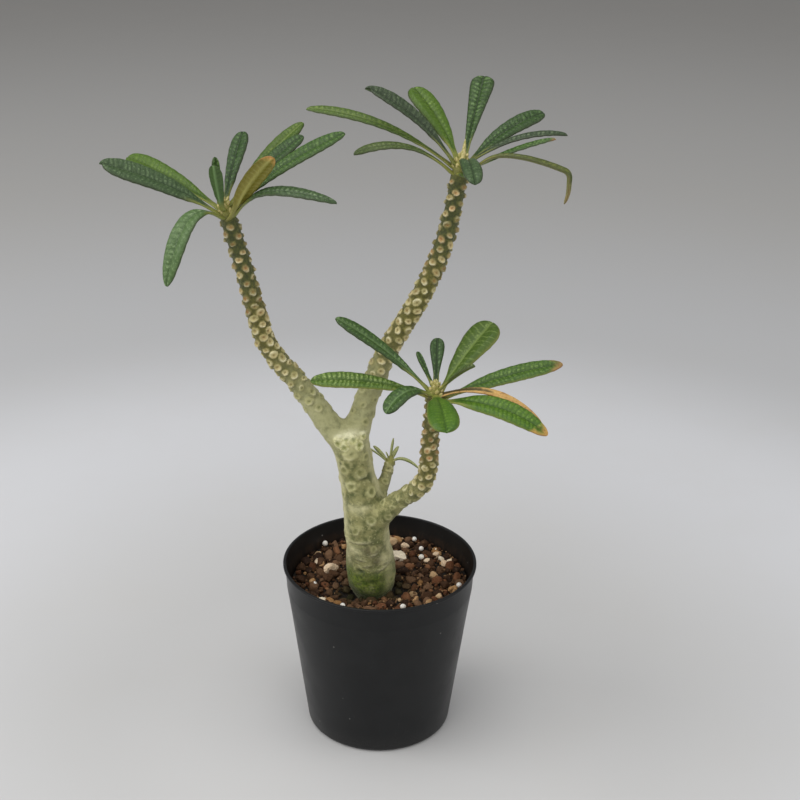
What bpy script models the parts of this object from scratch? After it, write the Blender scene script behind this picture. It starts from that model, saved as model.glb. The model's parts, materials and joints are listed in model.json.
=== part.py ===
"""Potted dorstenia: a forked succulent stem with three rosettes of leaves in a round nursery pot.

Sizes in the lists below are millimetres. The origin is the middle of the pot's underside, +Z is
up, +X is to the right and -Y is the front.
"""
import math
import random
from collections import namedtuple

import bmesh
import bpy
from mathutils import Matrix, Vector

OBJECT_NAME = "potted_dorstenia"
MM = 0.001
SEED = 11
GAP = 0.3

# Pot
POT_HEIGHT = 84.0
RIM_RADIUS = 45.0
LIP_HEIGHT = 1.2
LIP_STAND = 0.9
LIP_EASE = 0.3
LIP_STEP = 0.4
BAND_HEIGHT = 17.0
BAND_FOOT_RADIUS = 43.0
BAND_STEP = 0.5
FOOT_RADIUS = 33.8
FOOT_FILLET = 3.0
FILLET_KNEE = (2.0, 0.7)
WALL = 1.1
GROOVE_INNER = 13.0
GROOVE_OUTER = 28.5
GROOVE_DEPTH = 1.5
GROOVE_EASE = 0.5
INNER_CURVE = 2.0
POT_STEPS = 48
DRAIN_HOLES = 6
DRAIN_RADIUS = 4.0
DRAIN_SIDES = 16

# Soil
SOIL_TOP = 73.5
SOIL_TILT = 1.3
TRUNK_HOLLOW = 3.5
HOLLOW_REACH = 16.0
GRAIN_SPACING = 3.2
GRAIN_RELIEF = 0.9
SOIL_COLUMNS = 48
SOIL_PLAY = 0.1
SOIL_FOOT_INSET = 1.4
TRUNK_HOLE_RADIUS = 11.7
TRUNK_HOLE_FLOOR = 55.0
TRUNK_HOLE_SIDES = 24

# Stem: x, y, z of the centre line and the radius there
TRUNK = [
    (-4.0, -3.0, 56.0, 9.6),
    (-4.0, -3.0, 66.0, 10.4),
    (-4.0, -3.0, 74.0, 10.9),
    (-4.5, -3.0, 84.0, 10.8),
    (-5.3, -3.0, 94.0, 10.2),
    (-6.3, -3.0, 105.0, 10.0),
    (-7.8, -3.0, 116.0, 9.2),
    (-9.8, -2.5, 126.0, 8.2),
    (-11.7, -2.0, 136.0, 7.9),
    (-13.3, -1.5, 144.0, 7.4),
    (-14.3, -1.2, 149.5, 5.8),
]
LEFT_BRANCH = [
    (-12.5, -2.0, 139.0, 5.6),
    (-17.5, -2.0, 147.5, 6.1),
    (-23.5, -2.0, 154.8, 5.5),
    (-30.3, -1.5, 165.0, 4.9),
    (-37.4, -1.0, 174.8, 4.4),
    (-45.0, -0.5, 184.0, 4.1),
    (-50.8, 0.0, 193.2, 4.0),
    (-53.6, 0.5, 202.5, 4.0),
    (-56.0, 1.0, 211.5, 3.9),
    (-58.2, 1.5, 220.8, 3.8),
    (-60.5, 2.0, 230.0, 3.6),
    (-63.0, 2.0, 239.0, 3.5),
    (-65.0, 2.0, 246.5, 3.5),
]
RIGHT_BRANCH = [
    (-12.5, -1.5, 139.0, 5.6),
    (-11.8, 0.0, 147.0, 6.0),
    (-9.6, 2.0, 154.5, 5.6),
    (-6.8, 4.0, 163.5, 5.1),
    (-3.2, 6.0, 172.5, 4.8),
    (0.6, 8.0, 181.5, 4.5),
    (5.2, 9.0, 190.8, 4.3),
    (10.8, 10.0, 200.0, 4.2),
    (15.8, 11.0, 209.0, 4.1),
    (20.3, 12.0, 218.0, 4.0),
    (24.0, 13.0, 227.0, 3.9),
    (27.0, 14.0, 236.0, 3.7),
    (29.2, 15.0, 245.0, 3.6),
    (30.9, 15.7, 253.5, 3.5),
    (32.2, 16.0, 263.0, 3.5),
]
LOW_BRANCH = [
    (-6.0, -5.0, 104.0, 5.4),
    (-2.0, -6.5, 108.5, 5.4),
    (1.7, -8.0, 113.0, 5.1),
    (6.0, -10.0, 118.7, 4.5),
    (11.2, -13.0, 124.2, 4.0),
    (16.3, -16.0, 129.4, 3.8),
    (19.8, -18.0, 135.0, 3.7),
    (21.2, -19.0, 141.0, 3.6),
    (21.6, -19.7, 148.5, 3.5),
    (21.9, -20.0, 156.0, 3.4),
    (22.4, -20.0, 163.5, 3.3),
    (23.0, -20.0, 172.5, 3.3),
]
SHOOT_STUB = [
    (-6.0, -3.5, 112.5, 3.4),
    (-2.0, -2.0, 116.7, 3.1),
    (0.3, 0.0, 120.5, 2.8),
    (2.0, 2.0, 124.5, 2.6),
    (3.0, 3.4, 127.6, 2.4),
]

# Crown of a branch: height above its last point and the radius there
CROWN_TAPER = [(4.0, 3.2), (7.0, 2.4), (9.5, 1.5), (11.5, 0.7)]
CROWN_RISE = 7.0

SCAR_SPACING = 2.25
SCAR_COLUMNS = 12
SCAR_HEIGHT = 0.6
SCAR_TWIST = math.radians(6.0)
SCAR_FREE_TOP = 6
TRUNK_SPACING = 4.0
TRUNK_COLUMNS = 18
TRUNK_RELIEF = 0.35
STUB_COLUMNS = 8
CURVE_STEPS = 12

# Leaves
BLADE = 0.8
PETIOLE_WIDTH = 2.0
PETIOLE_THICK = 1.3
PETIOLE_SHARE = 0.14
BLADE_STATIONS = 12
BLADE_TAPER = 1.15
TIP_ROUNDING = 0.55
TURN_SHARE = 0.4
WAVE_HEIGHT = 0.35
WAVE_CUT = 0.05
WAVE_SHARE = 0.2
WAVE_FULL_WIDTH = 10.0
END_SHARE = 0.995
TIP_CROWDING = 1.4

# tip: from the crown's middle to the leaf's tip. knee: where the arch bends, as a share of the
# straight line from base to tip, and its height over that line. grip: how closely the arch
# follows the knee. roll: turn about the leaf's own heading. fold: rise of each half of the blade.
# blunt: how round the tip is. seat: height of the base over the crown's middle and its bearing.
Leaf = namedtuple("Leaf", "name tip knee grip width roll fold blunt seat")

LEFT_LEAVES = [
    Leaf("leaf_left_01", (-51, -6, 20), (0.5, 5), 1.0, 11.5, -20, 12, 7, (-1.8, -172)),
    Leaf("leaf_left_02", (-44, 22, 15), (0.6, 3), 1.0, 10.5, -12, 12, 7, (-1.0, 138)),
    Leaf("leaf_left_03", (-23, -22, -28), (0.15, 19), 1.2, 12.5, 0, 10, 7, (-3.0, -132)),
    Leaf("leaf_left_04", (-3, -10, 21), (0.5, -2), 1.0, 8.0, 0, 12, 7, (0.2, -100)),
    Leaf("leaf_left_05", (-4, 3, 21), (0.5, 0), 1.0, 4.0, 0, 10, 5, (2.2, 140)),
    Leaf("leaf_left_06", (6, 26, 26), (0.5, 2), 1.0, 10.5, 0, 12, 8, (0.0, 98)),
    Leaf("leaf_left_07", (32, 27, 30), (0.5, 4), 1.0, 9.0, 12, 12, 5, (-0.8, 58)),
    Leaf("leaf_left_08", (33, 12, 28), (0.5, 3), 1.0, 8.5, 0, 14, 6, (0.6, 18)),
    Leaf("leaf_left_09", (51, 2, 32), (0.4, 6), 1.0, 10.5, 20, 14, 6, (-1.6, -4)),
    Leaf("leaf_left_10", (22, -14, 26), (0.5, 3), 1.0, 10.0, -45, 10, 6, (0.4, -48)),
    Leaf("leaf_left_11", (48, -12, 6), (0.3, 13), 1.4, 10.5, 0, 12, 5, (-3.6, -28)),
]
RIGHT_LEAVES = [
    Leaf("leaf_right_01", (-67, 14, 19), (0.5, 11), 1.0, 9.0, -10, 12, 5, (-2.4, 165)),
    Leaf("leaf_right_02", (-46, -4, 4), (0.5, 14), 1.0, 8.0, -8, 14, 6, (-4.4, -165)),
    Leaf("leaf_right_03", (-40, 6, 28), (0.5, 7), 1.0, 11.0, -18, 16, 5, (-0.2, -172)),
    Leaf("leaf_right_04", (-21, 26, 26), (0.5, 5), 1.0, 12.0, 0, 8, 7, (0.2, 120)),
    Leaf("leaf_right_05", (10, 28, 31), (0.5, 1), 1.0, 11.5, 0, 8, 10, (0.6, 72)),
    Leaf("leaf_right_06", (36, 20, 17), (0.5, 6), 1.0, 10.5, 16, 12, 7, (-1.0, 40)),
    Leaf("leaf_right_07", (45, 2, 12), (0.5, 8), 1.0, 7.0, 0, 20, 5, (0.4, -2)),
    Leaf("leaf_right_08", (39, -8, 13), (0.5, 2), 1.0, 7.0, 0, 14, 5, (-2.2, -20)),
    Leaf("leaf_right_09", (44, -15, -14), (0.75, 21), 2.2, 6.0, 0, 50, 5, (-4.0, -44)),
    Leaf("leaf_right_10", (6, -32, 0), (0.5, 4), 1.0, 9.0, 0, 8, 8, (-0.6, -72)),
    Leaf("leaf_right_11", (2, -22, 0), (0.5, 1), 1.0, 5.0, 0, 10, 7, (-4.2, -92)),
]
LOW_LEAVES = [
    Leaf("leaf_low_01", (-43, 4, 31), (0.5, 4), 1.0, 9.5, -12, 12, 6, (0.2, -178)),
    Leaf("leaf_low_02", (-54, 6, 1), (0.5, 6), 1.0, 10.5, -26, 10, 6, (-3.0, 172)),
    Leaf("leaf_low_03", (-21, -16, -4), (0.5, 11), 1.0, 11.0, 0, 10, 7, (-1.0, -135)),
    Leaf("leaf_low_04", (-8, 7, 15), (0.5, 0), 1.0, 3.5, 0, 10, 5, (2.0, 130)),
    Leaf("leaf_low_05", (1, 18, 17), (0.5, 1), 1.0, 6.5, 0, 10, 7, (0.8, 85)),
    Leaf("leaf_low_06", (25, 22, 23), (0.5, 2), 1.0, 16.0, 0, 6, 7, (-1.0, 42)),
    Leaf("leaf_low_07", (16, -3, 14), (0.5, 1), 1.0, 5.0, 0, 10, 5, (1.6, -8)),
    Leaf("leaf_low_08", (55, 7, 10), (0.5, 4), 1.0, 10.0, 20, 10, 6, (-4.2, 14)),
    Leaf("leaf_low_09", (48, -5, -15), (0.45, 18), 1.0, 5.5, 0, 40, 5, (-1.4, -16)),
    Leaf("leaf_low_10", (47, -18, -12), (0.5, 11), 1.0, 12.0, 22, 10, 5, (-4.2, -42)),
    Leaf("leaf_low_11", (3, -36, -3), (0.5, 5), 1.0, 14.5, 0, 6, 7, (-1.6, -85)),
]

# Side shoot: its own short stem, and its narrow leaves as tip, knee, width
SHOOT_STEM = [
    (3.2, 3.8, 128.3, 2.3),
    (3.9, 4.5, 131.5, 2.0),
    (4.5, 5.0, 134.5, 1.2),
]
SHOOT_LEAVES = [
    ((-9.5, -2.0, 5.5), (0.5, 1), 2.0),
    ((-7.5, 4.0, 4.0), (0.5, 1), 1.8),
    ((0.5, 1.5, 8.5), (0.5, 0), 1.6),
    ((3.0, 4.0, 6.0), (0.5, 0), 1.8),
    ((11.5, -1.0, -5.0), (0.4, 6), 3.0),
    ((2.5, 8.0, 2.5), (0.5, 2), 2.2),
]
SHOOT_STATIONS = 5
SHOOT_THICK = 0.7
SHOOT_SPACING = 2.0
SHOOT_COLUMNS = 8
SHOOT_PETIOLE = (1.4, 1.0)
SHOOT_FOLD = 10
SHOOT_BLUNT = 4

# Colours and roughness
LOOKS = {
    "pot": ((0.022, 0.022, 0.023), 0.42),
    "soil": ((0.150, 0.075, 0.045), 0.95),
    "stem": ((0.250, 0.260, 0.130), 0.70),
    "side_shoot": ((0.220, 0.300, 0.090), 0.60),
    "dark_leaf": ((0.050, 0.140, 0.055), 0.45),
    "young_leaf": ((0.160, 0.270, 0.045), 0.50),
    "old_leaf": ((0.450, 0.250, 0.060), 0.60),
}
YOUNG_LEAVES = {
    "leaf_left_02", "leaf_left_07", "leaf_left_10", "leaf_right_01", "leaf_right_04",
    "leaf_right_08", "leaf_right_11", "leaf_low_02", "leaf_low_06", "leaf_low_07",
}
OLD_LEAVES = {"leaf_right_09", "leaf_low_09"}


def clear_scene():
    for item in list(bpy.data.objects):
        bpy.data.objects.remove(item, do_unlink=True)


def new_collection(name):
    collection = bpy.data.collections.new(name)
    bpy.context.scene.collection.children.link(collection)
    return collection


def make_material(name, look):
    colour, roughness = look
    material = bpy.data.materials.new(name)
    material.use_nodes = True
    shader = material.node_tree.nodes["Principled BSDF"]
    shader.inputs["Base Color"].default_value = (*colour, 1.0)
    shader.inputs["Roughness"].default_value = roughness
    shader.inputs["Metallic"].default_value = 0.0
    material.diffuse_color = (*colour, 1.0)
    return material


def mesh_from(name, points, faces):
    """A mesh from points in millimetres and faces that point outwards."""
    mesh = bpy.data.meshes.new(name)
    mesh.from_pydata([tuple(MM * c for c in point) for point in points], [], faces)
    mesh.update()
    return mesh


def add_object(name, mesh, collection, material=None):
    item = bpy.data.objects.new(name, mesh)
    if material is not None:
        item.data.materials.clear()
        item.data.materials.append(material)
    collection.objects.link(item)
    return item


def round_shading(item, degrees=40.0):
    item.data.shade_smooth()
    item.data.set_sharp_from_angle(angle=math.radians(degrees))


def add_boolean(item, operation, operand):
    boolean = item.modifiers.new(operation.title(), "BOOLEAN")
    boolean.operation = operation
    boolean.operand_type = "COLLECTION"
    boolean.collection = operand
    return boolean


def apply_modifiers(item):
    """Keep the evaluated mesh in place of the modifiers."""
    graph = bpy.context.evaluated_depsgraph_get()
    mesh = bpy.data.meshes.new_from_object(item.evaluated_get(graph))
    item.modifiers.clear()
    item.data = mesh


def empty_collection(collection):
    for item in list(collection.objects):
        bpy.data.objects.remove(item, do_unlink=True)
    bpy.data.collections.remove(collection)


def add_drill(name, radius, depth, sides, middle, collection):
    """A cutter for a round hole along Z."""
    shape = bmesh.new()
    bmesh.ops.create_cone(shape, cap_ends=True, segments=sides, radius1=radius * MM,
                          radius2=radius * MM, depth=depth * MM)
    mesh = bpy.data.meshes.new(name)
    shape.to_mesh(mesh)
    shape.free()
    drill = add_object(name, mesh, collection)
    drill.location = Vector(middle) * MM
    drill.hide_render = True
    drill.display_type = "WIRE"


def wall_radius(height):
    """Outer radius of the pot's wall under the lip."""
    band_foot = POT_HEIGHT - BAND_HEIGHT
    band_top = RIM_RADIUS - LIP_STAND
    if height >= band_foot:
        share = (height - band_foot) / BAND_HEIGHT
        return BAND_FOOT_RADIUS + share * (band_top - BAND_FOOT_RADIUS)
    share = height / band_foot
    return FOOT_RADIUS + share * (BAND_FOOT_RADIUS - BAND_STEP - FOOT_RADIUS)


def pot_profile():
    """Outline of the pot's wall: down the outside, along the underside and up the inside."""
    band_foot = POT_HEIGHT - BAND_HEIGHT
    lip_foot = POT_HEIGHT - LIP_HEIGHT
    floor = GROOVE_DEPTH + WALL
    foot_edge = FOOT_RADIUS - FOOT_FILLET
    outside = [
        (RIM_RADIUS - LIP_EASE, POT_HEIGHT),
        (RIM_RADIUS, POT_HEIGHT - LIP_EASE),
        (RIM_RADIUS, lip_foot),
        (wall_radius(lip_foot - LIP_STEP), lip_foot - LIP_STEP),
        (wall_radius(band_foot), band_foot),
        (wall_radius(band_foot - BAND_STEP), band_foot - BAND_STEP),
        (wall_radius(FOOT_FILLET), FOOT_FILLET),
        (foot_edge + FILLET_KNEE[0], FILLET_KNEE[1]),
        (foot_edge, 0.0),
    ]
    underside = [
        (GROOVE_OUTER, 0.0),
        (GROOVE_OUTER - GROOVE_EASE, GROOVE_DEPTH),
        (GROOVE_INNER + GROOVE_EASE, GROOVE_DEPTH),
        (GROOVE_INNER, 0.0),
        (0.0, 0.0),
    ]
    inside = [
        (0.0, WALL),
        (GROOVE_INNER - WALL, WALL),
        (GROOVE_INNER, floor),
        (foot_edge - WALL, floor),
        (wall_radius(floor + INNER_CURVE) - WALL, floor + INNER_CURVE),
        (wall_radius(band_foot - WALL) - WALL, band_foot - WALL),
        (wall_radius(band_foot + BAND_STEP) - WALL, band_foot + BAND_STEP),
        (RIM_RADIUS - LIP_STAND - WALL, POT_HEIGHT - LIP_EASE),
        (RIM_RADIUS - LIP_STAND - WALL + LIP_EASE, POT_HEIGHT),
    ]
    return outside + underside + inside


def make_pot(parts, cutters, material):
    """The pot is a turned profile with round drainage holes in the groove of its floor."""
    outline = [(radius, 0.0, height) for radius, height in pot_profile()]
    mesh = bpy.data.meshes.new("pot")
    edges = [(i, (i + 1) % len(outline)) for i in range(len(outline))]
    axis_edge = next(e for e in edges if outline[e[0]][0] == 0.0 and outline[e[1]][0] == 0.0)
    edges.remove(axis_edge)
    mesh.from_pydata([tuple(MM * c for c in point) for point in outline], edges, [])
    pot = add_object("pot", mesh, parts, material)
    screw = pot.modifiers.new("Turn", "SCREW")
    screw.steps = POT_STEPS
    screw.render_steps = POT_STEPS
    screw.use_merge_vertices = True
    screw.merge_threshold = 0.00001
    screw.use_normal_calculate = False
    drains = bpy.data.collections.new("drains")
    cutters.children.link(drains)
    drain_ring = (GROOVE_INNER + GROOVE_OUTER) / 2
    for k in range(DRAIN_HOLES):
        angle = 2 * math.pi * k / DRAIN_HOLES
        place = (drain_ring * math.cos(angle), drain_ring * math.sin(angle), GROOVE_DEPTH)
        add_drill(f"drain_{k + 1}", DRAIN_RADIUS, 6 * WALL, DRAIN_SIDES, place, drains)
    add_boolean(pot, "DIFFERENCE", drains)
    return pot


def soil_radius(height):
    return wall_radius(height) - WALL - GAP - SOIL_PLAY


def soil_height(x, y):
    """Height of the soil: a little higher at the back, with a hollow round the trunk."""
    from_trunk = math.hypot(x - TRUNK[0][0], y - TRUNK[0][1])
    hollow = TRUNK_HOLLOW * math.exp(-(from_trunk / HOLLOW_REACH) ** 2)
    return SOIL_TOP + SOIL_TILT * y / RIM_RADIUS - hollow


def make_soil(parts, cutters, material):
    """The fill: a mound of grains inside the pot's wall, with a plain hole for the trunk."""
    draw = random.Random(SEED)
    edge = soil_radius(SOIL_TOP)
    rings = int(edge / GRAIN_SPACING)
    points = [(0.0, 0.0, soil_height(0.0, 0.0))]
    for ring in range(1, rings + 1):
        share = ring / rings
        for k in range(SOIL_COLUMNS):
            angle = 2 * math.pi * (k + 0.5 * (ring % 2)) / SOIL_COLUMNS
            raised = GRAIN_RELIEF * (1 if (k + ring) % 2 else -1) * draw.uniform(0.2, 1.0)
            radius = edge * share - (GRAIN_RELIEF * draw.random() if ring < rings else 0.0)
            x, y = radius * math.cos(angle), radius * math.sin(angle)
            points.append((x, y, soil_height(x, y) + raised))
    band_foot = POT_HEIGHT - BAND_HEIGHT
    floor = GROOVE_DEPTH + WALL
    for height in (band_foot, band_foot - WALL - BAND_STEP, floor + INNER_CURVE, floor + GAP):
        radius = soil_radius(height)
        if height == floor + GAP:
            radius = FOOT_RADIUS - FOOT_FILLET - SOIL_FOOT_INSET
        for k in range(SOIL_COLUMNS):
            angle = 2 * math.pi * (k + 0.5 * (rings % 2)) / SOIL_COLUMNS
            points.append((radius * math.cos(angle), radius * math.sin(angle), height))
    levels = rings + 4
    faces = [(0, 1 + k, 1 + (k + 1) % SOIL_COLUMNS) for k in range(SOIL_COLUMNS)]
    for level in range(1, levels):
        for k in range(SOIL_COLUMNS):
            inner, outer = 1 + (level - 1) * SOIL_COLUMNS, 1 + level * SOIL_COLUMNS
            following = (k + 1) % SOIL_COLUMNS
            if level % 2 or level >= rings:
                faces.append((inner + k, outer + k, outer + following))
                faces.append((inner + k, outer + following, inner + following))
            else:
                faces.append((inner + k, outer + k, inner + following))
                faces.append((inner + following, outer + k, outer + following))
    last = 1 + (levels - 1) * SOIL_COLUMNS
    faces.append(tuple(last + k for k in reversed(range(SOIL_COLUMNS))))
    soil = add_object("soil", mesh_from("soil", points, faces), parts, material)
    holes = bpy.data.collections.new("holes")
    cutters.children.link(holes)
    depth = POT_HEIGHT - TRUNK_HOLE_FLOOR
    middle = (TRUNK[0][0], TRUNK[0][1], TRUNK_HOLE_FLOOR + depth / 2)
    add_drill("trunk_hole", TRUNK_HOLE_RADIUS, depth, TRUNK_HOLE_SIDES, middle, holes)
    add_boolean(soil, "DIFFERENCE", holes)
    return soil


def spline_point(a, b, c, d, share):
    """Point on the smooth curve between b and c, with a before and d after them."""
    square, cube = share * share, share ** 3
    return 0.5 * (2 * b + (c - a) * share + (2 * a - 5 * b + 4 * c - d) * square
                  + (3 * b - a - 3 * c + d) * cube)


def even_path(stations, spacing):
    """Centres and radii at even steps along the smooth curve through the stations."""
    knots = [Vector(s) for s in stations]
    knots = [2 * knots[0] - knots[1]] + knots + [2 * knots[-1] - knots[-2]]
    fine = []
    for k in range(1, len(knots) - 2):
        for step in range(CURVE_STEPS):
            fine.append(spline_point(*knots[k - 1:k + 3], step / CURVE_STEPS))
    fine.append(knots[-2])
    lengths = [0.0]
    for before, after in zip(fine, fine[1:]):
        lengths.append(lengths[-1] + (after.xyz - before.xyz).length)
    count = max(2, round(lengths[-1] / spacing))
    path = []
    k = 0
    for step in range(count + 1):
        wanted = lengths[-1] * step / count
        while k < len(lengths) - 2 and lengths[k + 1] < wanted:
            k += 1
        share = (wanted - lengths[k]) / (lengths[k + 1] - lengths[k])
        path.append(fine[k].lerp(fine[k + 1], share))
    return path


def stem_mesh(name, stations, spacing, columns, relief, twist=0.0, plain_top=0):
    """A tube along the stations, whose alternate surface points stand out as leaf scars."""
    path = even_path(stations, spacing)
    side = Vector((0.0, 1.0, 0.0))
    points = []
    for i, knot in enumerate(path):
        before, after = path[max(i - 1, 0)], path[min(i + 1, len(path) - 1)]
        ahead = (after.xyz - before.xyz).normalized()
        side = (side - ahead * side.dot(ahead)).normalized()
        across = ahead.cross(side)
        inside = 0 < i < len(path) - 1 - plain_top
        for j in range(columns):
            angle = 2 * math.pi * j / columns + twist * i
            raised = relief if inside and (i + j) % 2 == 0 else 0.0
            outward = side * math.cos(angle) + across * math.sin(angle)
            points.append(knot.xyz + outward * (knot.w + raised))
    faces = [tuple(reversed(range(columns)))]
    for i in range(len(path) - 1):
        for j in range(columns):
            following = (j + 1) % columns
            a, b = i * columns + j, i * columns + following
            c, d = b + columns, a + columns
            if (i + j) % 2 == 0:
                faces += [(a, b, d), (b, c, d)]
            else:
                faces += [(a, b, c), (a, c, d)]
    last = (len(path) - 1) * columns
    faces.append(tuple(last + j for j in range(columns)))
    return mesh_from(name, points, faces)


def crown_axis(branch):
    """Direction in which a branch grows at its top."""
    return (Vector(branch[-1][:3]) - Vector(branch[-3][:3])).normalized()


def with_crown(branch):
    """The branch's stations, and after them its taper to the growing point."""
    top, axis = Vector(branch[-1][:3]), crown_axis(branch)
    return branch + [(*(top + axis * rise), radius) for rise, radius in CROWN_TAPER]


def crown_middle(branch):
    return Vector(branch[-1][:3]) + crown_axis(branch) * CROWN_RISE


def crown_radius(branch, seat):
    """Radius of the crown at a height over its middle."""
    rise = CROWN_RISE + seat
    steps = [(0.0, branch[-1][3])] + CROWN_TAPER
    for (low, wide), (high, narrow) in zip(steps, steps[1:]):
        if rise <= high:
            return wide + (narrow - wide) * (rise - low) / (high - low)
    return steps[-1][1]


def make_stem(parts, material):
    """Trunk, branches and the side shoot's stub, grown together as one body."""
    trunk = add_object("stem", stem_mesh("trunk", TRUNK, TRUNK_SPACING, TRUNK_COLUMNS,
                                         TRUNK_RELIEF, plain_top=2), parts, material)
    limbs = new_collection("limbs")
    for name, branch in (("left", LEFT_BRANCH), ("right", RIGHT_BRANCH), ("low", LOW_BRANCH)):
        mesh = stem_mesh(name, with_crown(branch), SCAR_SPACING, SCAR_COLUMNS, SCAR_HEIGHT,
                         SCAR_TWIST, SCAR_FREE_TOP)
        add_object(name, mesh, limbs)
    stub = stem_mesh("stub", SHOOT_STUB, SCAR_SPACING, STUB_COLUMNS, SCAR_HEIGHT / 2,
                     SCAR_TWIST, 1)
    add_object("stub", stub, limbs)
    add_boolean(trunk, "UNION", limbs)
    apply_modifiers(trunk)
    empty_collection(limbs)
    trunk.data.materials.clear()
    trunk.data.materials.append(material)
    return trunk


def arch_point(base, knee, tip, grip, share):
    """Point on the arch from base to tip that leans towards the knee."""
    near, middle, far = (1 - share) ** 2, 2 * grip * share * (1 - share), share ** 2
    return (base * near + knee * middle + tip * far) / (near + middle + far)


def blade_width(share, blunt):
    """Half width of a blade as a share of its widest: narrow below, broad near a round tip."""
    return share ** BLADE_TAPER * (1 - share ** blunt) ** TIP_ROUNDING


def leaf_shares(stations):
    """Stations along a leaf from petiole to tip, closer together at the tip."""
    shares = [0.0, PETIOLE_SHARE * 0.6]
    for k in range(stations + 1):
        way = 1 - (1 - k / stations) ** TIP_CROWDING
        shares.append(PETIOLE_SHARE + (END_SHARE - PETIOLE_SHARE) * way)
    return shares


def leaf_points(base, leaf, crown, thick, petiole, stations):
    """Rows of points across the leaf, on its upper and on its lower face."""
    tip = crown + Vector(leaf.tip)
    chord = tip - base
    out = Vector((chord.x, chord.y, 0.0)).normalized()
    flat = out.cross(Vector((0.0, 0.0, 1.0)))
    lift = flat.cross(chord).normalized()
    knee = base + chord * leaf.knee[0] + lift * leaf.knee[1]
    widest = max(blade_width(k / 50, leaf.blunt) for k in range(1, 50))
    upper, lower = [], []
    for row, share in enumerate(leaf_shares(stations)):
        centre = arch_point(base, knee, tip, leaf.grip, share)
        before = arch_point(base, knee, tip, leaf.grip, max(share - 0.01, 0.0))
        after = arch_point(base, knee, tip, leaf.grip, min(share + 0.01, 1.0))
        ahead = (after - before).normalized()
        face = flat.cross(ahead).normalized()
        spread = min(1.0, share / TURN_SHARE)
        turn = Matrix.Rotation(math.radians(leaf.roll) * spread, 3, ahead)
        across, face = turn @ flat, turn @ face
        body = blade_width(share, leaf.blunt) / widest
        half = max(petiole[0] / 2 * (1 - share), leaf.width / 2 * body)
        deep = thick + (petiole[1] - thick) * max(0.0, 1 - share / (2 * PETIOLE_SHARE))
        sign = 1 if row % 2 else -1
        waved = sign * min(1.0, max(0.0, (share - PETIOLE_SHARE) / WAVE_SHARE),
                           leaf.width / WAVE_FULL_WIDTH)
        half *= 1 + WAVE_CUT * waved
        rise = math.radians(leaf.fold) * spread
        upper_row, lower_row = [], []
        for edge in (-1, 0, 1):
            bend = half * abs(edge) * math.sin(rise) + WAVE_HEIGHT * waved * edge
            spot = centre + across * (edge * half * math.cos(rise)) + face * bend
            upper_row.append(spot + face * deep / 2)
            lower_row.append(spot - face * deep / 2)
        upper.append(upper_row)
        lower.append(lower_row)
    return upper, lower


def leaf_mesh(name, upper, lower):
    """A closed blade, split into triangles alike on its two faces."""
    rows = len(upper)
    points = [spot for row in upper for spot in row] + [spot for row in lower for spot in row]
    under = rows * 3
    faces = []
    for i in range(rows - 1):
        for j in range(2):
            a, b = i * 3 + j, i * 3 + j + 1
            c, d = b + 3, a + 3
            split = [(a, b, c), (a, c, d)] if j == 0 else [(a, b, d), (b, c, d)]
            faces += split
            faces += [tuple(under + v for v in reversed(face)) for face in split]
        left, right = i * 3, i * 3 + 2
        faces += [(left, left + 3, under + left + 3), (left, under + left + 3, under + left)]
        faces += [(right + 3, right, under + right), (right + 3, under + right, under + right + 3)]
    end = (rows - 1) * 3
    faces.append((0, under, under + 1, 1))
    faces.append((1, under + 1, under + 2, 2))
    faces.append((end + 1, under + end + 1, under + end, end))
    faces.append((end + 2, under + end + 2, under + end + 1, end + 1))
    return mesh_from(name, points, faces)


def leaf_base(branch, leaf):
    """Where the petiole starts: on the crown's surface, at the seat's height and bearing."""
    axis, middle = crown_axis(branch), crown_middle(branch)
    height, bearing = leaf.seat
    out = Vector((math.cos(math.radians(bearing)), math.sin(math.radians(bearing)), 0.0))
    out = (out - axis * out.dot(axis)).normalized()
    tip = Vector(leaf.tip)
    rise = math.asin(tip.normalized().z) + math.atan2(leaf.knee[1], leaf.knee[0] * tip.length)
    swing = math.radians(bearing) - math.atan2(tip.y, tip.x)
    room = PETIOLE_THICK / 2 * max(0.2, math.sin(rise)) + PETIOLE_WIDTH / 2 * abs(math.sin(swing))
    reach = crown_radius(branch, height) + GAP + room
    return middle + axis * height + out * reach


def make_leaves(parts, materials):
    groups = ((LEFT_BRANCH, LEFT_LEAVES), (RIGHT_BRANCH, RIGHT_LEAVES), (LOW_BRANCH, LOW_LEAVES))
    for branch, leaves in groups:
        for leaf in leaves:
            look = "dark_leaf"
            if leaf.name in YOUNG_LEAVES:
                look = "young_leaf"
            if leaf.name in OLD_LEAVES:
                look = "old_leaf"
            petiole = (min(PETIOLE_WIDTH, leaf.width * 0.6), min(PETIOLE_THICK, leaf.width * 0.4))
            base = leaf_base(branch, leaf)
            upper, lower = leaf_points(base, leaf, crown_middle(branch), BLADE, petiole,
                                       BLADE_STATIONS)
            add_object(leaf.name, leaf_mesh(leaf.name, upper, lower), parts, materials[look])


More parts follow.
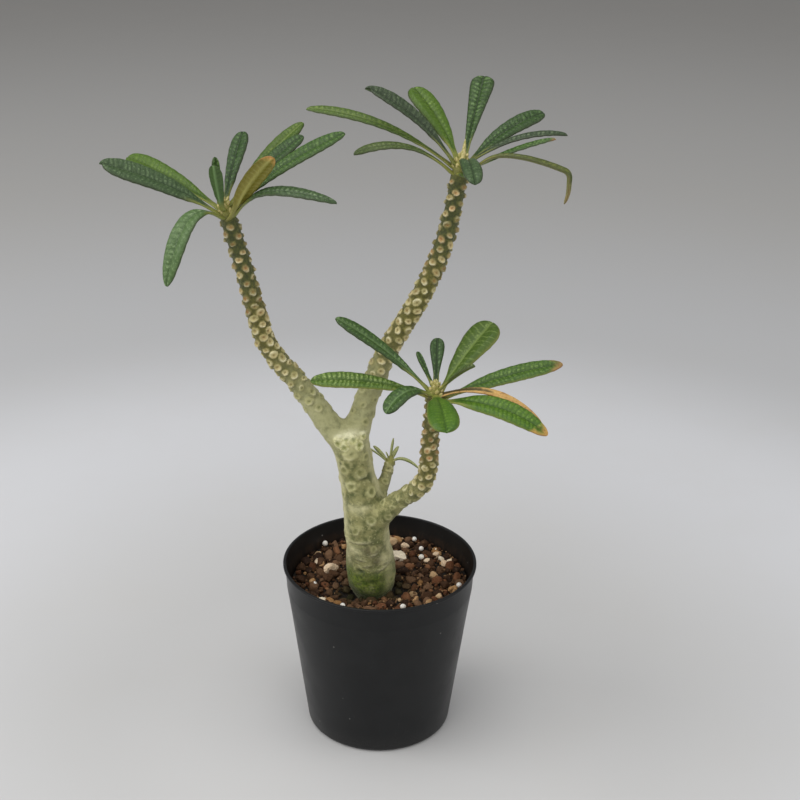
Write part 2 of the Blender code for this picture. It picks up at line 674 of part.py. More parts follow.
def make_side_shoot(parts, material):
    """The new growth on the stub: a short stem with narrow leaves fused to it."""
    mesh = stem_mesh("side_shoot", SHOOT_STEM, SHOOT_SPACING, SHOOT_COLUMNS, 0.0)
    shoot = add_object("side_shoot", mesh, parts, material)
    sprigs = new_collection("sprigs")
    root = Vector(SHOOT_STEM[1][:3])
    for k, (tip, knee, width) in enumerate(SHOOT_LEAVES):
        leaf = Leaf(f"sprig_{k + 1}", tip, knee, 1.0, width, 0, SHOOT_FOLD, SHOOT_BLUNT, None)
        crown = Vector(SHOOT_STEM[-1][:3])
        upper, lower = leaf_points(root, leaf, crown, SHOOT_THICK, SHOOT_PETIOLE,
                                   SHOOT_STATIONS)
        add_object(leaf.name, leaf_mesh(leaf.name, upper, lower), sprigs)
    add_boolean(shoot, "UNION", sprigs)
    apply_modifiers(shoot)
    empty_collection(sprigs)
    shoot.data.materials.clear()
    shoot.data.materials.append(material)
    return shoot


def main():
    clear_scene()
    parts = new_collection(OBJECT_NAME)
    cutters = new_collection("cutters")
    materials = {name: make_material(name, look) for name, look in LOOKS.items()}
    round_shading(make_pot(parts, cutters, materials["pot"]))
    make_soil(parts, cutters, materials["soil"])
    make_stem(parts, materials["stem"])
    make_side_shoot(parts, materials["side_shoot"])
    make_leaves(parts, materials)


main()
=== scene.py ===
"""The looks of the potted dorstenia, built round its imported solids.

Sizes and places are millimetres in the model's own frame: +Z is up and -Y is the front.
"""
import json
import math
import random
from collections import namedtuple

import bmesh
import bpy
import numpy as np
from mathutils import Matrix, Vector, kdtree, noise

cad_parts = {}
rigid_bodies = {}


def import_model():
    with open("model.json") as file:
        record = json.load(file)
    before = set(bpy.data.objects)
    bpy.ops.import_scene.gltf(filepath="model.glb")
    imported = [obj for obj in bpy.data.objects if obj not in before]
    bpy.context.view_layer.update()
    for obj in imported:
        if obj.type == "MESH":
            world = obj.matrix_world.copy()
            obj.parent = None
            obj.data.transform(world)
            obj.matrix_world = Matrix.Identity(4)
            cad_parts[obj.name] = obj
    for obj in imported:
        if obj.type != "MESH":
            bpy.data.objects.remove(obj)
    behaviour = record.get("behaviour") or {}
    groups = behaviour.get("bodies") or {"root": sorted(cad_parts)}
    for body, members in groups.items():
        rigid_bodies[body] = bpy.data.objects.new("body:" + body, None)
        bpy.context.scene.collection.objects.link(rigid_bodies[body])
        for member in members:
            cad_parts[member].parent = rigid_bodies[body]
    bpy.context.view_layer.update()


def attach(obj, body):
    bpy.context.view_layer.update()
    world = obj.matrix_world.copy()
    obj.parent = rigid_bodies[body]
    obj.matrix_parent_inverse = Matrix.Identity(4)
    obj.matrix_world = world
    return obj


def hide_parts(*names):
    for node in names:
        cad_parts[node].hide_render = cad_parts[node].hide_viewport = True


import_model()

MM = 0.001
SEED = 7
BODY = "root"

# Pot
POT_HEIGHT = 84.0
RIM_RADIUS = 45.0
LIP_HEIGHT = 1.2
LIP_STAND = 0.9
BAND_HEIGHT = 17.0
BAND_FOOT_RADIUS = 43.0
BAND_STEP = 0.5
FOOT_RADIUS = 33.8
FOOT_FILLET = 3.0
WALL = 1.1
GROOVE_INNER = 13.0
GROOVE_OUTER = 28.5
GROOVE_DEPTH = 1.5
POT_STEPS = 160
DRAIN_HOLES = 6
DRAIN_RADIUS = 4.0
WALL_LEAN = 0.065

# Soil
SOIL_TOP = 73.5
SOIL_TILT = 1.3
TRUNK_HOLLOW = 3.5
HOLLOW_REACH = 16.0
SOIL_EDGE = 41.2
BED_DROP = 1.6
BED_RING = 1.3
BED_COLUMNS = 150
BED_LEVELS = 12
BED_FOOT_INSET = 1.4
BED_BLACK = (0.008, 0.006, 0.004)
GRAIN_FOLDS = 3
CRUMB_FOLDS = 2
GRAIN_FACETS = 7
WEAR = 14
HOLLOW_EDGE = 8.2
# Dark pockets beside the trunk's foot, where the soil dips: the top grains are left out so the black bed
# shows, and the grains there are darkened, both as painted shade. x, y and reach
POCKETS = [(-13.5, -9.5, 6.5), (9.5, -5.5, 6.5), (-1.0, 9.5, 6.0)]
POCKET_DEPTH = 2.2
# Layers of grains: tries, drop, closeness, least size and spread of sizes
GRAIN_LAYERS = [(6500, 0.0, 0.86, 0.98, 1.9), (4200, 1.9, 0.82, 1.2, 1.2), (2100, 0.4, 0.95, 0.42, 0.48)]
DEEP_LAYER = 1
CRUMB_LAYER = 2
TAN_SIZE = 0.75
# Lots of grains: their clay and how finely their stones are meshed
LOTS = {
    "grains_brown": ("clay_brown", GRAIN_FOLDS),
    "grains_deep": ("clay_brown", CRUMB_FOLDS),
    "grains_rust": ("clay_rust", GRAIN_FOLDS),
    "grains_tan": ("clay_tan", GRAIN_FOLDS),
    "crumbs": ("clay_crumbs", CRUMB_FOLDS),
}
# Dark, middle and light colour of each clay
CLAYS = {
    "clay_brown": ((0.024, 0.011, 0.006), (0.072, 0.034, 0.016), (0.190, 0.106, 0.058)),
    "clay_rust": ((0.080, 0.029, 0.012), (0.155, 0.062, 0.028), (0.270, 0.130, 0.062)),
    "clay_tan": ((0.260, 0.130, 0.045), (0.470, 0.270, 0.120), (0.640, 0.450, 0.260)),
    "clay_crumbs": ((0.032, 0.014, 0.006), (0.130, 0.064, 0.028), (0.340, 0.200, 0.100)),
    "pumice": ((0.780, 0.580, 0.390), (0.840, 0.680, 0.490), (0.880, 0.780, 0.610)),
}

# Stem: x, y, z of the centre line and the radius there
TRUNK = [
    (-4.0, -3.0, 56.0, 6.0),
    (-4.0, -3.0, 66.0, 6.4),
    (-3.7, -3.2, 70.0, 7.9),
    (-3.6, -3.2, 74.0, 10.0),
    (-3.8, -3.0, 78.0, 11.1),
    (-4.2, -3.0, 83.0, 11.3),
    (-4.8, -3.0, 89.0, 10.7),
    (-5.3, -3.0, 94.0, 10.2),
    (-6.3, -3.0, 105.0, 10.0),
    (-7.8, -3.0, 116.0, 9.2),
    (-9.8, -2.5, 126.0, 8.2),
    (-11.7, -2.0, 136.0, 7.9),
    (-13.3, -1.5, 144.0, 7.4),
    (-14.3, -1.2, 149.5, 5.8),
]
LEFT_BRANCH = [
    (-12.5, -2.0, 139.0, 5.6),
    (-17.5, -2.0, 147.5, 6.1),
    (-23.5, -2.0, 154.8, 5.5),
    (-30.3, -1.5, 165.0, 4.9),
    (-37.4, -1.0, 174.8, 4.4),
    (-45.0, -0.5, 184.0, 4.1),
    (-50.8, 0.0, 193.2, 4.0),
    (-53.6, 0.5, 202.5, 4.0),
    (-56.0, 1.0, 211.5, 3.9),
    (-58.2, 1.5, 220.8, 3.8),
    (-60.5, 2.0, 230.0, 3.6),
    (-63.0, 2.0, 239.0, 3.5),
    (-65.0, 2.0, 246.5, 3.5),
]
RIGHT_BRANCH = [
    (-12.5, -1.5, 139.0, 5.6),
    (-11.8, 0.0, 147.0, 6.0),
    (-9.6, 2.0, 154.5, 5.6),
    (-6.8, 4.0, 163.5, 5.1),
    (-3.2, 6.0, 172.5, 4.8),
    (0.6, 8.0, 181.5, 4.5),
    (5.2, 9.0, 190.8, 4.3),
    (10.8, 10.0, 200.0, 4.2),
    (15.8, 11.0, 209.0, 4.1),
    (20.3, 12.0, 218.0, 4.0),
    (24.0, 13.0, 227.0, 3.9),
    (27.0, 14.0, 236.0, 3.7),
    (29.2, 15.0, 245.0, 3.6),
    (30.9, 15.7, 253.5, 3.5),
    (32.2, 16.0, 263.0, 3.5),
]
LOW_BRANCH = [
    (-6.0, -5.0, 104.0, 5.4),
    (-2.0, -6.5, 108.5, 5.4),
    (1.7, -8.0, 113.0, 5.1),
    (6.0, -10.0, 118.7, 4.5),
    (11.2, -13.0, 124.2, 4.0),
    (16.3, -16.0, 129.4, 3.8),
    (19.8, -18.0, 135.0, 3.7),
    (21.2, -19.0, 141.0, 3.6),
    (21.6, -19.7, 148.5, 3.5),
    (21.9, -20.0, 156.0, 3.4),
    (22.4, -20.0, 163.5, 3.3),
    (23.0, -20.0, 172.5, 3.3),
]
SHOOT_STUB = [
    (-6.0, -3.5, 112.5, 3.4),
    (-2.0, -2.0, 116.7, 3.1),
    (0.3, 0.0, 120.5, 2.8),
    (2.0, 2.0, 124.5, 2.6),
    (3.0, 3.4, 127.6, 2.4),
]
SHOOT_STEM = [
    (2.6, 3.1, 126.4, 2.3),
    (3.9, 4.5, 131.5, 2.2),
    (4.5, 5.0, 134.0, 1.6),
    (4.6, 5.2, 136.0, 0.5),
]
BRANCHES = {"left": LEFT_BRANCH, "right": RIGHT_BRANCH, "low": LOW_BRANCH}
SHOOT_STEP = 0.3
SHOOT_SIDES = 44
KNOB_SHARE = 0.38
# Crowns: height over the last station and radius
CROWN_TAPER = [(4.0, 3.2), (7.0, 2.4), (8.8, 1.5), (10.2, 0.7)]
CROWN_RISE = 7.0
CROWN_SCALES = 17
SCALE_LOWEST = -2.8
SCALE_CLIMB = 0.36
SCALE_SINK = 0.6
SCALE_TIP = 0.06
SCALE_SIDES = 10
# The folded new leaf in the right crown: share of the way and radius
SPIKE = [(0.0, 1.0), (0.4, 0.95), (0.8, 0.6), (1.0, 0.12)]
SPIKE_SIDES = 14
GOLDEN_ANGLE = math.pi * (3 - math.sqrt(5))
TURN = 6.28

# Skin of the stem
SKIN_VOXEL = 0.455
PATH_STEP = 1.2
CURVE_STEPS = 12
TUBE_SIDES = 40
BLEND = 1.1
SETTLE_ROUNDS = 3
LEAST_PUSH = 0.35
LUMP_HEIGHT = 0.30
LUMP_SIZE = 7.0
DENT_DEPTH = 0.16
DENT_SIZE = 2.6
THIN_LIMB_LUMPS = 0.35
# Numbers of the low branch, the trunk and the stub among the limbs
LOW = 2
MAIN = 3
STUB = 4
# How much further up each branch looks old, as a share of its length
AGE_SHIFTS = (0.06, 0.0, 0.12)

Scar = namedtuple("Scar", "spot radius height upper fork old")
SCAR_LAYERS = ("ring", "lip", "cup", "pit", "cushion", "warm", "fork")
SCAR_TOP = 0.93
LOW_BRANCH_BARE = 0.15
UPPER_SHARE = 0.60
SCAR_ROOM = 5.2
SCAR_SNAP = 1.6
SCAR_SPAN = 1.6
SCAR_CUP = 0.36
FORK_CUP = 0.50
FRONT_SEARCH = 14.0
FRONT_SLACK = 0.6

# Leaf scars along a limb: share of the way up, step between scars, ring radius and height
BRANCH_SCARS = [
    (0.00, 1.9, 2.7, 0.22),
    (0.16, 1.4, 2.4, 0.40),
    (0.26, 0.92, 2.10, 0.65),
    (0.36, 0.74, 1.98, 0.85),
    (0.62, 0.72, 1.92, 0.95),
    (0.72, 0.88, 1.72, 1.05),
    (0.88, 0.92, 1.50, 1.10),
    (1.00, 0.85, 1.35, 0.90),
]
LOW_BRANCH_SCARS = [
    (0.00, 1.7, 2.3, 0.20),
    (0.25, 1.2, 2.1, 0.45),
    (0.40, 0.80, 1.9, 0.80),
    (0.60, 0.70, 1.7, 0.95),
    (0.75, 0.66, 1.5, 1.00),
    (1.00, 0.62, 1.3, 0.90),
]
TRUNK_SCARS = [
    (0.00, 5.0, 2.6, 0.15),
    (0.38, 3.4, 2.7, 0.22),
    (0.55, 2.1, 2.9, 0.32),
    (0.90, 1.9, 2.6, 0.36),
    (1.00, 2.0, 2.3, 0.34),
]
STUB_SCARS = [(0.0, 1.8, 1.7, 0.35), (1.0, 1.5, 1.6, 0.50)]
SPRIG_SCARS = [(0.0, 1.1, 1.7, 0.55), (1.0, 0.9, 1.2, 0.45)]
# Rings on the front of the trunk and fork that stand out: x, z, ring radius, height
FRONT_RINGS = [
    (-13.6, 142.9, 3.7, 0.45),
    (-8.7, 134.3, 3.6, 0.60),
    (-16.6, 134.8, 2.9, 0.42),
    (-13.6, 127.2, 3.4, 0.48),
    (-3.6, 124.6, 3.2, 0.50),
    (-6.2, 141.2, 2.4, 0.42),
    (-3.6, 111.6, 3.0, 0.40),
    (-11.2, 105.4, 3.0, 0.46),
    (-17.0, 121.5, 2.6, 0.36),
    (2.0, 125.8, 1.9, 0.60),
]
# The yellow-green scars crowded together on the fork: x, z, ring radius, height
FORK_RINGS = [
    (-19.1, 148.6, 2.5, 0.95),
    (-16.4, 146.3, 2.4, 0.85),
    (-11.5, 149.7, 2.5, 0.90),
    (-9.0, 147.0, 2.4, 0.85),
    (-7.4, 150.2, 1.9, 0.70),
    (-15.0, 149.8, 2.0, 0.60),
]
# Marks on the front of the trunk: x, z, half width, half height, slope and kind
TRUNK_MARKS = [
    (-13.8, 151.6, 4.6, 1.7, 0.00, "glow"),
    (-18.4, 151.1, 2.0, 1.1, 0.10, "glow"),
    (-8.4, 151.6, 1.8, 0.8, -0.10, "glow"),
    (-13.6, 149.0, 6.5, 3.2, 0.00, "cream"),
    (-13.6, 142.9, 1.9, 1.9, 0.00, "cream"),
    (-7.7, 131.2, 2.0, 0.8, 0.00, "shade"),
    (-10.8, 116.2, 4.6, 2.3, 0.05, "cream"),
    (-7.4, 117.2, 3.0, 1.4, 0.00, "cream"),
    (-8.9, 99.5, 5.0, 0.80, 0.14, "fold"),
    (-12.5, 95.0, 4.0, 2.6, 0.00, "cream"),
    (-4.2, 95.8, 4.4, 3.2, 0.00, "brown"),
    (-1.0, 91.0, 2.6, 2.4, 0.00, "brown"),
    (-8.4, 91.0, 2.0, 0.70, -0.05, "fold"),
    (-2.5, 93.6, 1.8, 0.70, 0.30, "fold"),
    (-5.5, 88.2, 1.6, 0.60, 0.20, "fold"),
    (2.4, 91.2, 2.2, 2.2, 0.00, "cream"),
    (1.8, 86.6, 3.4, 0.75, 0.45, "fold"),
    (3.4, 89.0, 2.0, 0.60, 0.55, "fold"),
    (-13.2, 82.0, 3.4, 3.2, 0.00, "lime"),
    (-5.5, 79.0, 3.2, 2.0, -0.20, "lime"),
    (-8.4, 85.1, 1.3, 0.75, 0.00, "hole"),
    (-3.0, 80.6, 4.4, 1.0, 0.10, "shade"),
    (-12.6, 74.4, 4.0, 3.0, -0.45, "shade"),
    (0.6, 75.6, 1.3, 2.1, 0.00, "shade"),
    (-6.5, 72.5, 2.5, 1.2, 0.00, "shade"),
    (4.2, 80.5, 1.8, 4.6, 0.00, "cream"),
    (-3.5, 77.4, 1.4, 2.6, 0.00, "cream"),
    (-9.5, 80.0, 1.4, 1.2, 0.00, "lime"),
]
MARK_KINDS = ("glow", "cream", "brown", "lime", "shade", "fold", "hole")

# Leaves. tip: from the crown's middle to the leaf's tip. knee: where the arch bends, as a share
# of the straight line from base to tip, and its height over that line. grip: how closely the arch
# follows the knee. roll: turn about the leaf's own heading. fold: rise of each half of the blade.
# blunt: how round the tip is. taper: how fast the blade narrows to its foot. seat: height of the
# base over the crown's middle and its bearing. look: name of its colours. dry: how far the
# withering reaches from the tip, as a share.
Leaf = namedtuple("Leaf", "name tip knee grip width roll fold blunt taper seat look dry")

# Leaves of each crown, which are numbered from 1 in this order
LEAF_ROWS = {
    "left": [
        ((-51, -6, 20), (0.5, 5), 1.0, 12.5, -26, 12, 7, 0.5, (-1.8, -172), "pearl", 0),
        ((-44, 22, 15), (0.6, 3), 1.0, 12.5, -12, 12, 7, 0.55, (-1.0, 138), "lime", 0),
        ((-23, -22, -28), (0.14, 21.5), 1.2, 12.8, 0, 10, 5, 0.62, (-3.0, -132), "pearl_with_painted_light", 0),
        ((-3, -10, 21), (0.5, -2), 1.0, 6.8, 0, 24, 7, 0.6, (0.2, -100), "deep", 0),
        ((-4, 3, 21), (0.5, 0), 1.0, 4.4, 0, 10, 5, 0.8, (2.2, 140), "mid", 0),
        ((6, 26, 26), (0.5, 2), 1.0, 9.0, -14, 12, 8, 0.7, (0.0, 98), "deep", 0),
        ((32, 27, 30), (0.5, 4), 1.0, 9.0, 12, 12, 4, 0.6, (-0.8, 58), "fresh", 0),
        ((33, 12, 28), (0.5, 3), 1.0, 10.0, 14, 14, 6, 0.65, (0.6, 18), "deep", 0),
        ((51, 2, 32), (0.4, 6), 1.0, 10.5, 20, 14, 6, 0.65, (-1.6, -4), "mid", 0),
        ((22, -14, 26), (0.5, 3), 1.0, 9.0, -45, 10, 6, 0.35, (-3.4, -58), "bronze", 0.06),
        ((48, -12, 6), (0.3, 13), 1.4, 11.8, 0, 12, 5, 0.35, (-3.6, -28), "pearl", 0),
    ],
    "right": [
        ((-67, 14, 19), (0.5, 11), 1.0, 8.4, -10, 12, 5, 0.9, (-2.4, 165), "fresh", 0),
        ((-46, -4, 4), (0.5, 14), 1.0, 7.8, -8, 14, 6, 1.1, (-4.4, -165), "sage", 0),
        ((-41.6, 6, 30), (0.5, 7), 1.0, 10.5, -18, 30, 5, 0.65, (-0.2, -172), "dusky", 0),
        ((-21, 26, 26), (0.5, 5), 1.0, 13.5, 0, 8, 7, 0.75, (0.2, 120), "lime", 0),
        ((10, 28, 31), (0.5, 1), 1.0, 10.8, 0, 8, 24, 1.0, (0.6, 72), "rungs", 0),
        ((36, 20, 17), (0.5, 6), 1.0, 10.5, 16, 12, 7, 0.6, (-1.0, 40), "deep", 0),
        ((45, 2, 12), (0.5, 8), 1.0, 7.4, 0, 20, 5, 0.55, (0.4, -2), "dusky", 0),
        ((39, -8, 13), (0.5, 2), 1.0, 7.0, 0, 14, 3.5, 0.6, (-2.2, -20), "mid", 0.03),
        ((44, -15, -14), (0.93, 22), 2.2, 6.2, 0, 30, 5, 0.6, (-4.0, -44), "olive", 0.12),
        ((4.8, -32, 0), (0.35, 10), 1.0, 8.6, 0, 8, 9, 0.3, (-0.6, -72), "pearl", 0),
        ((2, -22, 0), (0.5, 1), 1.0, 5.0, 0, 10, 7, 0.8, (-4.2, -92), "fresh", 0),
    ],
    "low": [
        ((-43, 4, 31), (0.5, 4), 1.0, 9.5, -12, 12, 6, 0.65, (0.2, -178), "ribbed", 0),
        ((-54, 6, 1), (0.5, 6), 1.0, 9.2, -26, 10, 6, 0.6, (-3.0, 172), "bright", 0),
        ((-21, -16, -4), (0.5, 11), 1.0, 11.0, 0, 10, 7, 0.42, (-1.0, -135), "ribbed", 0),
        ((-8, 7, 15), (0.5, 0), 1.0, 3.5, 0, 10, 5, 0.8, (2.0, 130), "mid", 0),
        ((1, 18, 17), (0.5, 1), 1.0, 6.5, 0, 10, 7, 1.0, (0.8, 85), "deep", 0),
        ((25, 22, 23), (0.5, 2), 1.0, 17.5, 0, 6, 7, 0.85, (-1.0, 42), "veined", 0),
        ((16.5, -6, 14), (0.5, 1), 1.0, 5.6, 0, 30, 5, 0.8, (1.6, -8), "sage", 0),
        ((55, 7, 10), (0.5, 4), 1.0, 10.0, 20, 10, 3.5, 0.6, (-4.2, 14), "meadow", 0.06),
        ((46, -6, -12.5), (0.45, 14.5), 1.0, 4.8, 14, 16, 3, 0.5, (-1.4, -16), "withered", 0.64),
        ((47.6, -18, -12.2), (0.5, 11), 1.0, 11.6, 22, 10, 2.2, 0.5, (-4.2, -42), "grass", 0.07),
        ((4.2, -36, -3), (0.5, 5), 1.0, 13.4, 0, 6, 7, 0.42, (-1.6, -85), "grass", 0),
    ],
}
# The side shoot's leaves: tip, knee and width
SHOOT_LEAVES = [
    ((-10.5, -1.0, 6.0), (0.5, 1), 1.5),
    ((-8.0, 4.0, 4.5), (0.5, 1), 2.4),
    ((1.2, 1.0, 10.0), (0.5, 0), 1.5),
    ((3.4, 1.0, 4.8), (0.5, 0), 1.4),
    ((12.8, -1.0, -4.2), (0.3, 7), 2.8),
    ((3.6, 6.0, 3.5), (0.5, 2), 1.8),
    ((-2.2, -1.0, 4.0), (0.5, 0.5), 1.3),
]
# Leaves whose midrib follows measured spots, from the crown's middle
LEAF_PATHS = {
    "leaf_right_09": [(10.3, -7.4, 3.4), (16.3, -8.4, 5.2), (24.9, -10.4, 4.9), (33.4, -12.4, 3.2),
                      (40.6, -14.2, 1.1), (43.0, -14.8, 0.2), (44.0, -15.1, -1.4), (44.1, -15.4, -4.2),
                      (44.0, -15.7, -8.4), (43.2, -16.2, -12.8)],
}
BLADE = 0.8
MARGIN = 0.42
PETIOLE_WIDTH = 2.0
PETIOLE_THICK = 1.3
STALK_HALF = 1.25
SHEATH_HALF = 0.65
FULL_SIZE_WIDTH = 9.0
TURN_IN = 0.4
RIB_REACH = 0.50
LEAST_BLADE = 0.16
# How far a petiole's root is drawn back and sideways into the crown
ROOT_PULLS = ((2.4, 1.7), (1.2, 0.8))
LAST_SHARE = 0.9999
PETIOLE_SHARE = 0.14
TIP_ROUNDING = 0.55
GAP = 0.3
LEAF_COLUMNS = 23
ROWS_PER_VEIN = 7
VEIN_SLANT = 0.30
VEIN_SPACING = 1.95
LANE = 1.5
# How strongly the leaves are quilted
QUILT = 0.64
QUILTS = {"leaf_low_11": 0.18, "leaf_left_01": 0.36, "leaf_left_02": 0.35, "leaf_left_03": 0.45,
          "leaf_left_07": 0.35, "leaf_left_10": 0.45, "leaf_low_01": 0.28, "leaf_low_03": 0.40,
          "leaf_low_06": 0.45, "leaf_right_01": 0.32, "leaf_right_02": 0.35, "leaf_right_04": 0.45,
          "leaf_right_09": 0.22, "leaf_right_10": 0.35, "leaf_right_05": 0.8, "leaf_low_02": 0.7}
VEIN_SPACINGS = {"leaf_low_06": 3.0, "leaf_left_10": 2.4}
# Leaves with a plain outer part, and leaves whose front half ends before the back one
SOFT_EDGED = {"leaf_right_04", "leaf_left_02", "leaf_left_07", "leaf_low_11"}
NOTCHED = {"leaf_left_01": 0.975, "leaf_right_03": 0.955}

YOUNG_LEAVES = {"leaf_left_02", "leaf_left_07", "leaf_left_10", "leaf_right_01", "leaf_right_04",
                "leaf_right_08", "leaf_right_11", "leaf_low_02", "leaf_low_06", "leaf_low_07"}
OLD_LEAVES = {"leaf_right_09", "leaf_low_09"}

# Leaves with long cross pillows like the rungs of a ladder
LADDERED = {"leaf_right_05", "leaf_low_02"}

# Colours of a leaf: upper face, its lit quilting, veins, underside and petiole
LeafLook = namedtuple("LeafLook", "deep lit vein under petiole")
# Looks with pale side veins, a pale midrib or a golden edge; the others have dark ones, which are
# painted shade in the creases, in the midrib's groove and along the edge
PALE_CREASED = {"veined", "bronze"}
PALE_RIBBED = {"fresh", "olive", "veined", "bronze", "sprig", "ribbed"}
GOLDEN_EDGED = {"veined", "grass", "meadow", "bright"}
# How strongly side veins and midrib are coloured
VEIN_INK = {"veined": 1.0, "bronze": 0.35}
RIB_INK = {"bright": 0.20, **dict.fromkeys(PALE_RIBBED, 0.80)}
# Painted shade along the edge of the leaves that have no golden edge
EDGE_SHADE = (0.026, 0.026, 0.012)
LEAF_LOOKS = {
    "deep": LeafLook((0.018, 0.050, 0.008), (0.050, 0.108, 0.021), (0.120, 0.205, 0.075),
                     (0.055, 0.105, 0.026), (0.190, 0.205, 0.045)),
    "dusky": LeafLook((0.022, 0.043, 0.015), (0.062, 0.098, 0.042), (0.135, 0.180, 0.100),
                      (0.045, 0.070, 0.025), (0.150, 0.165, 0.040)),
    "pearl": LeafLook((0.030, 0.066, 0.019), (0.084, 0.142, 0.052), (0.185, 0.270, 0.135),
                      (0.080, 0.135, 0.042), (0.200, 0.220, 0.050)),
    # A lighter copy of pearl for a leaf turned away from the lamps: painted light
    "pearl_with_painted_light": LeafLook((0.060, 0.122, 0.032), (0.125, 0.205, 0.072), (0.240, 0.340, 0.165),
                      (0.115, 0.190, 0.060), (0.200, 0.220, 0.050)),
    "mid": LeafLook((0.027, 0.073, 0.009), (0.072, 0.147, 0.021), (0.160, 0.260, 0.085),
                    (0.105, 0.175, 0.046), (0.205, 0.225, 0.048)),
    "ribbed": LeafLook((0.023, 0.063, 0.008), (0.062, 0.130, 0.020), (0.200, 0.320, 0.120),
                       (0.105, 0.175, 0.046), (0.205, 0.225, 0.048)),
    "rungs": LeafLook((0.021, 0.057, 0.008), (0.054, 0.114, 0.019), (0.140, 0.225, 0.085),
                      (0.105, 0.175, 0.046), (0.205, 0.225, 0.048)),
    "grass": LeafLook((0.044, 0.116, 0.006), (0.112, 0.222, 0.012), (0.190, 0.310, 0.055),
                      (0.130, 0.210, 0.045), (0.220, 0.240, 0.048)),
    "meadow": LeafLook((0.042, 0.105, 0.010), (0.108, 0.205, 0.022), (0.210, 0.320, 0.085),
                       (0.130, 0.210, 0.045), (0.220, 0.240, 0.048)),
    "fresh": LeafLook((0.054, 0.104, 0.009), (0.096, 0.164, 0.018), (0.200, 0.275, 0.065),
                      (0.150, 0.225, 0.050), (0.220, 0.230, 0.048)),
    "sage": LeafLook((0.048, 0.082, 0.014), (0.090, 0.132, 0.030), (0.180, 0.230, 0.080),
                     (0.110, 0.145, 0.036), (0.210, 0.220, 0.046)),
    "lime": LeafLook((0.058, 0.122, 0.006), (0.094, 0.176, 0.011), (0.200, 0.310, 0.060),
                     (0.140, 0.215, 0.036), (0.220, 0.240, 0.048)),
    "bright": LeafLook((0.054, 0.116, 0.009), (0.140, 0.240, 0.030), (0.330, 0.430, 0.150),
                       (0.150, 0.210, 0.040), (0.260, 0.250, 0.055)),
    "olive": LeafLook((0.060, 0.080, 0.012), (0.104, 0.126, 0.022), (0.180, 0.195, 0.050),
                      (0.170, 0.172, 0.045), (0.210, 0.210, 0.046)),
    "veined": LeafLook((0.042, 0.088, 0.006), (0.072, 0.130, 0.010), (0.250, 0.340, 0.090),
                       (0.150, 0.225, 0.050), (0.230, 0.240, 0.050)),
    "bronze": LeafLook((0.132, 0.124, 0.013), (0.225, 0.206, 0.026), (0.400, 0.400, 0.130),
                       (0.200, 0.175, 0.026), (0.240, 0.230, 0.060)),
    "sprig": LeafLook((0.250, 0.300, 0.090), (0.390, 0.430, 0.160), (0.580, 0.590, 0.290),
                      (0.320, 0.345, 0.140), (0.520, 0.490, 0.230)),
    "withered": LeafLook((0.100, 0.075, 0.020), (0.190, 0.135, 0.036), (0.300, 0.220, 0.080),
                         (0.160, 0.110, 0.030), (0.090, 0.064, 0.020)),
}
# Colours of withered tips
DRY_ORANGE = (0.680, 0.400, 0.105)
DRY_BROWN = (0.230, 0.095, 0.028)
DRY_COLOURS = {"olive": (0.270, 0.245, 0.095), "mid": (0.230, 0.190, 0.085),
               "meadow": (0.360, 0.225, 0.075), "withered": (0.700, 0.450, 0.150)}
OLIVE_RIM = (0.060, 0.058, 0.018)


def smooth(values, low, high):
    """Soft step from 0 at low to 1 at high."""
    share = np.clip((values - low) / (high - low), 0.0, 1.0)
    return share * share * (3 - 2 * share)


def scaled(factor, colour):
    return tuple(factor * c for c in colour)


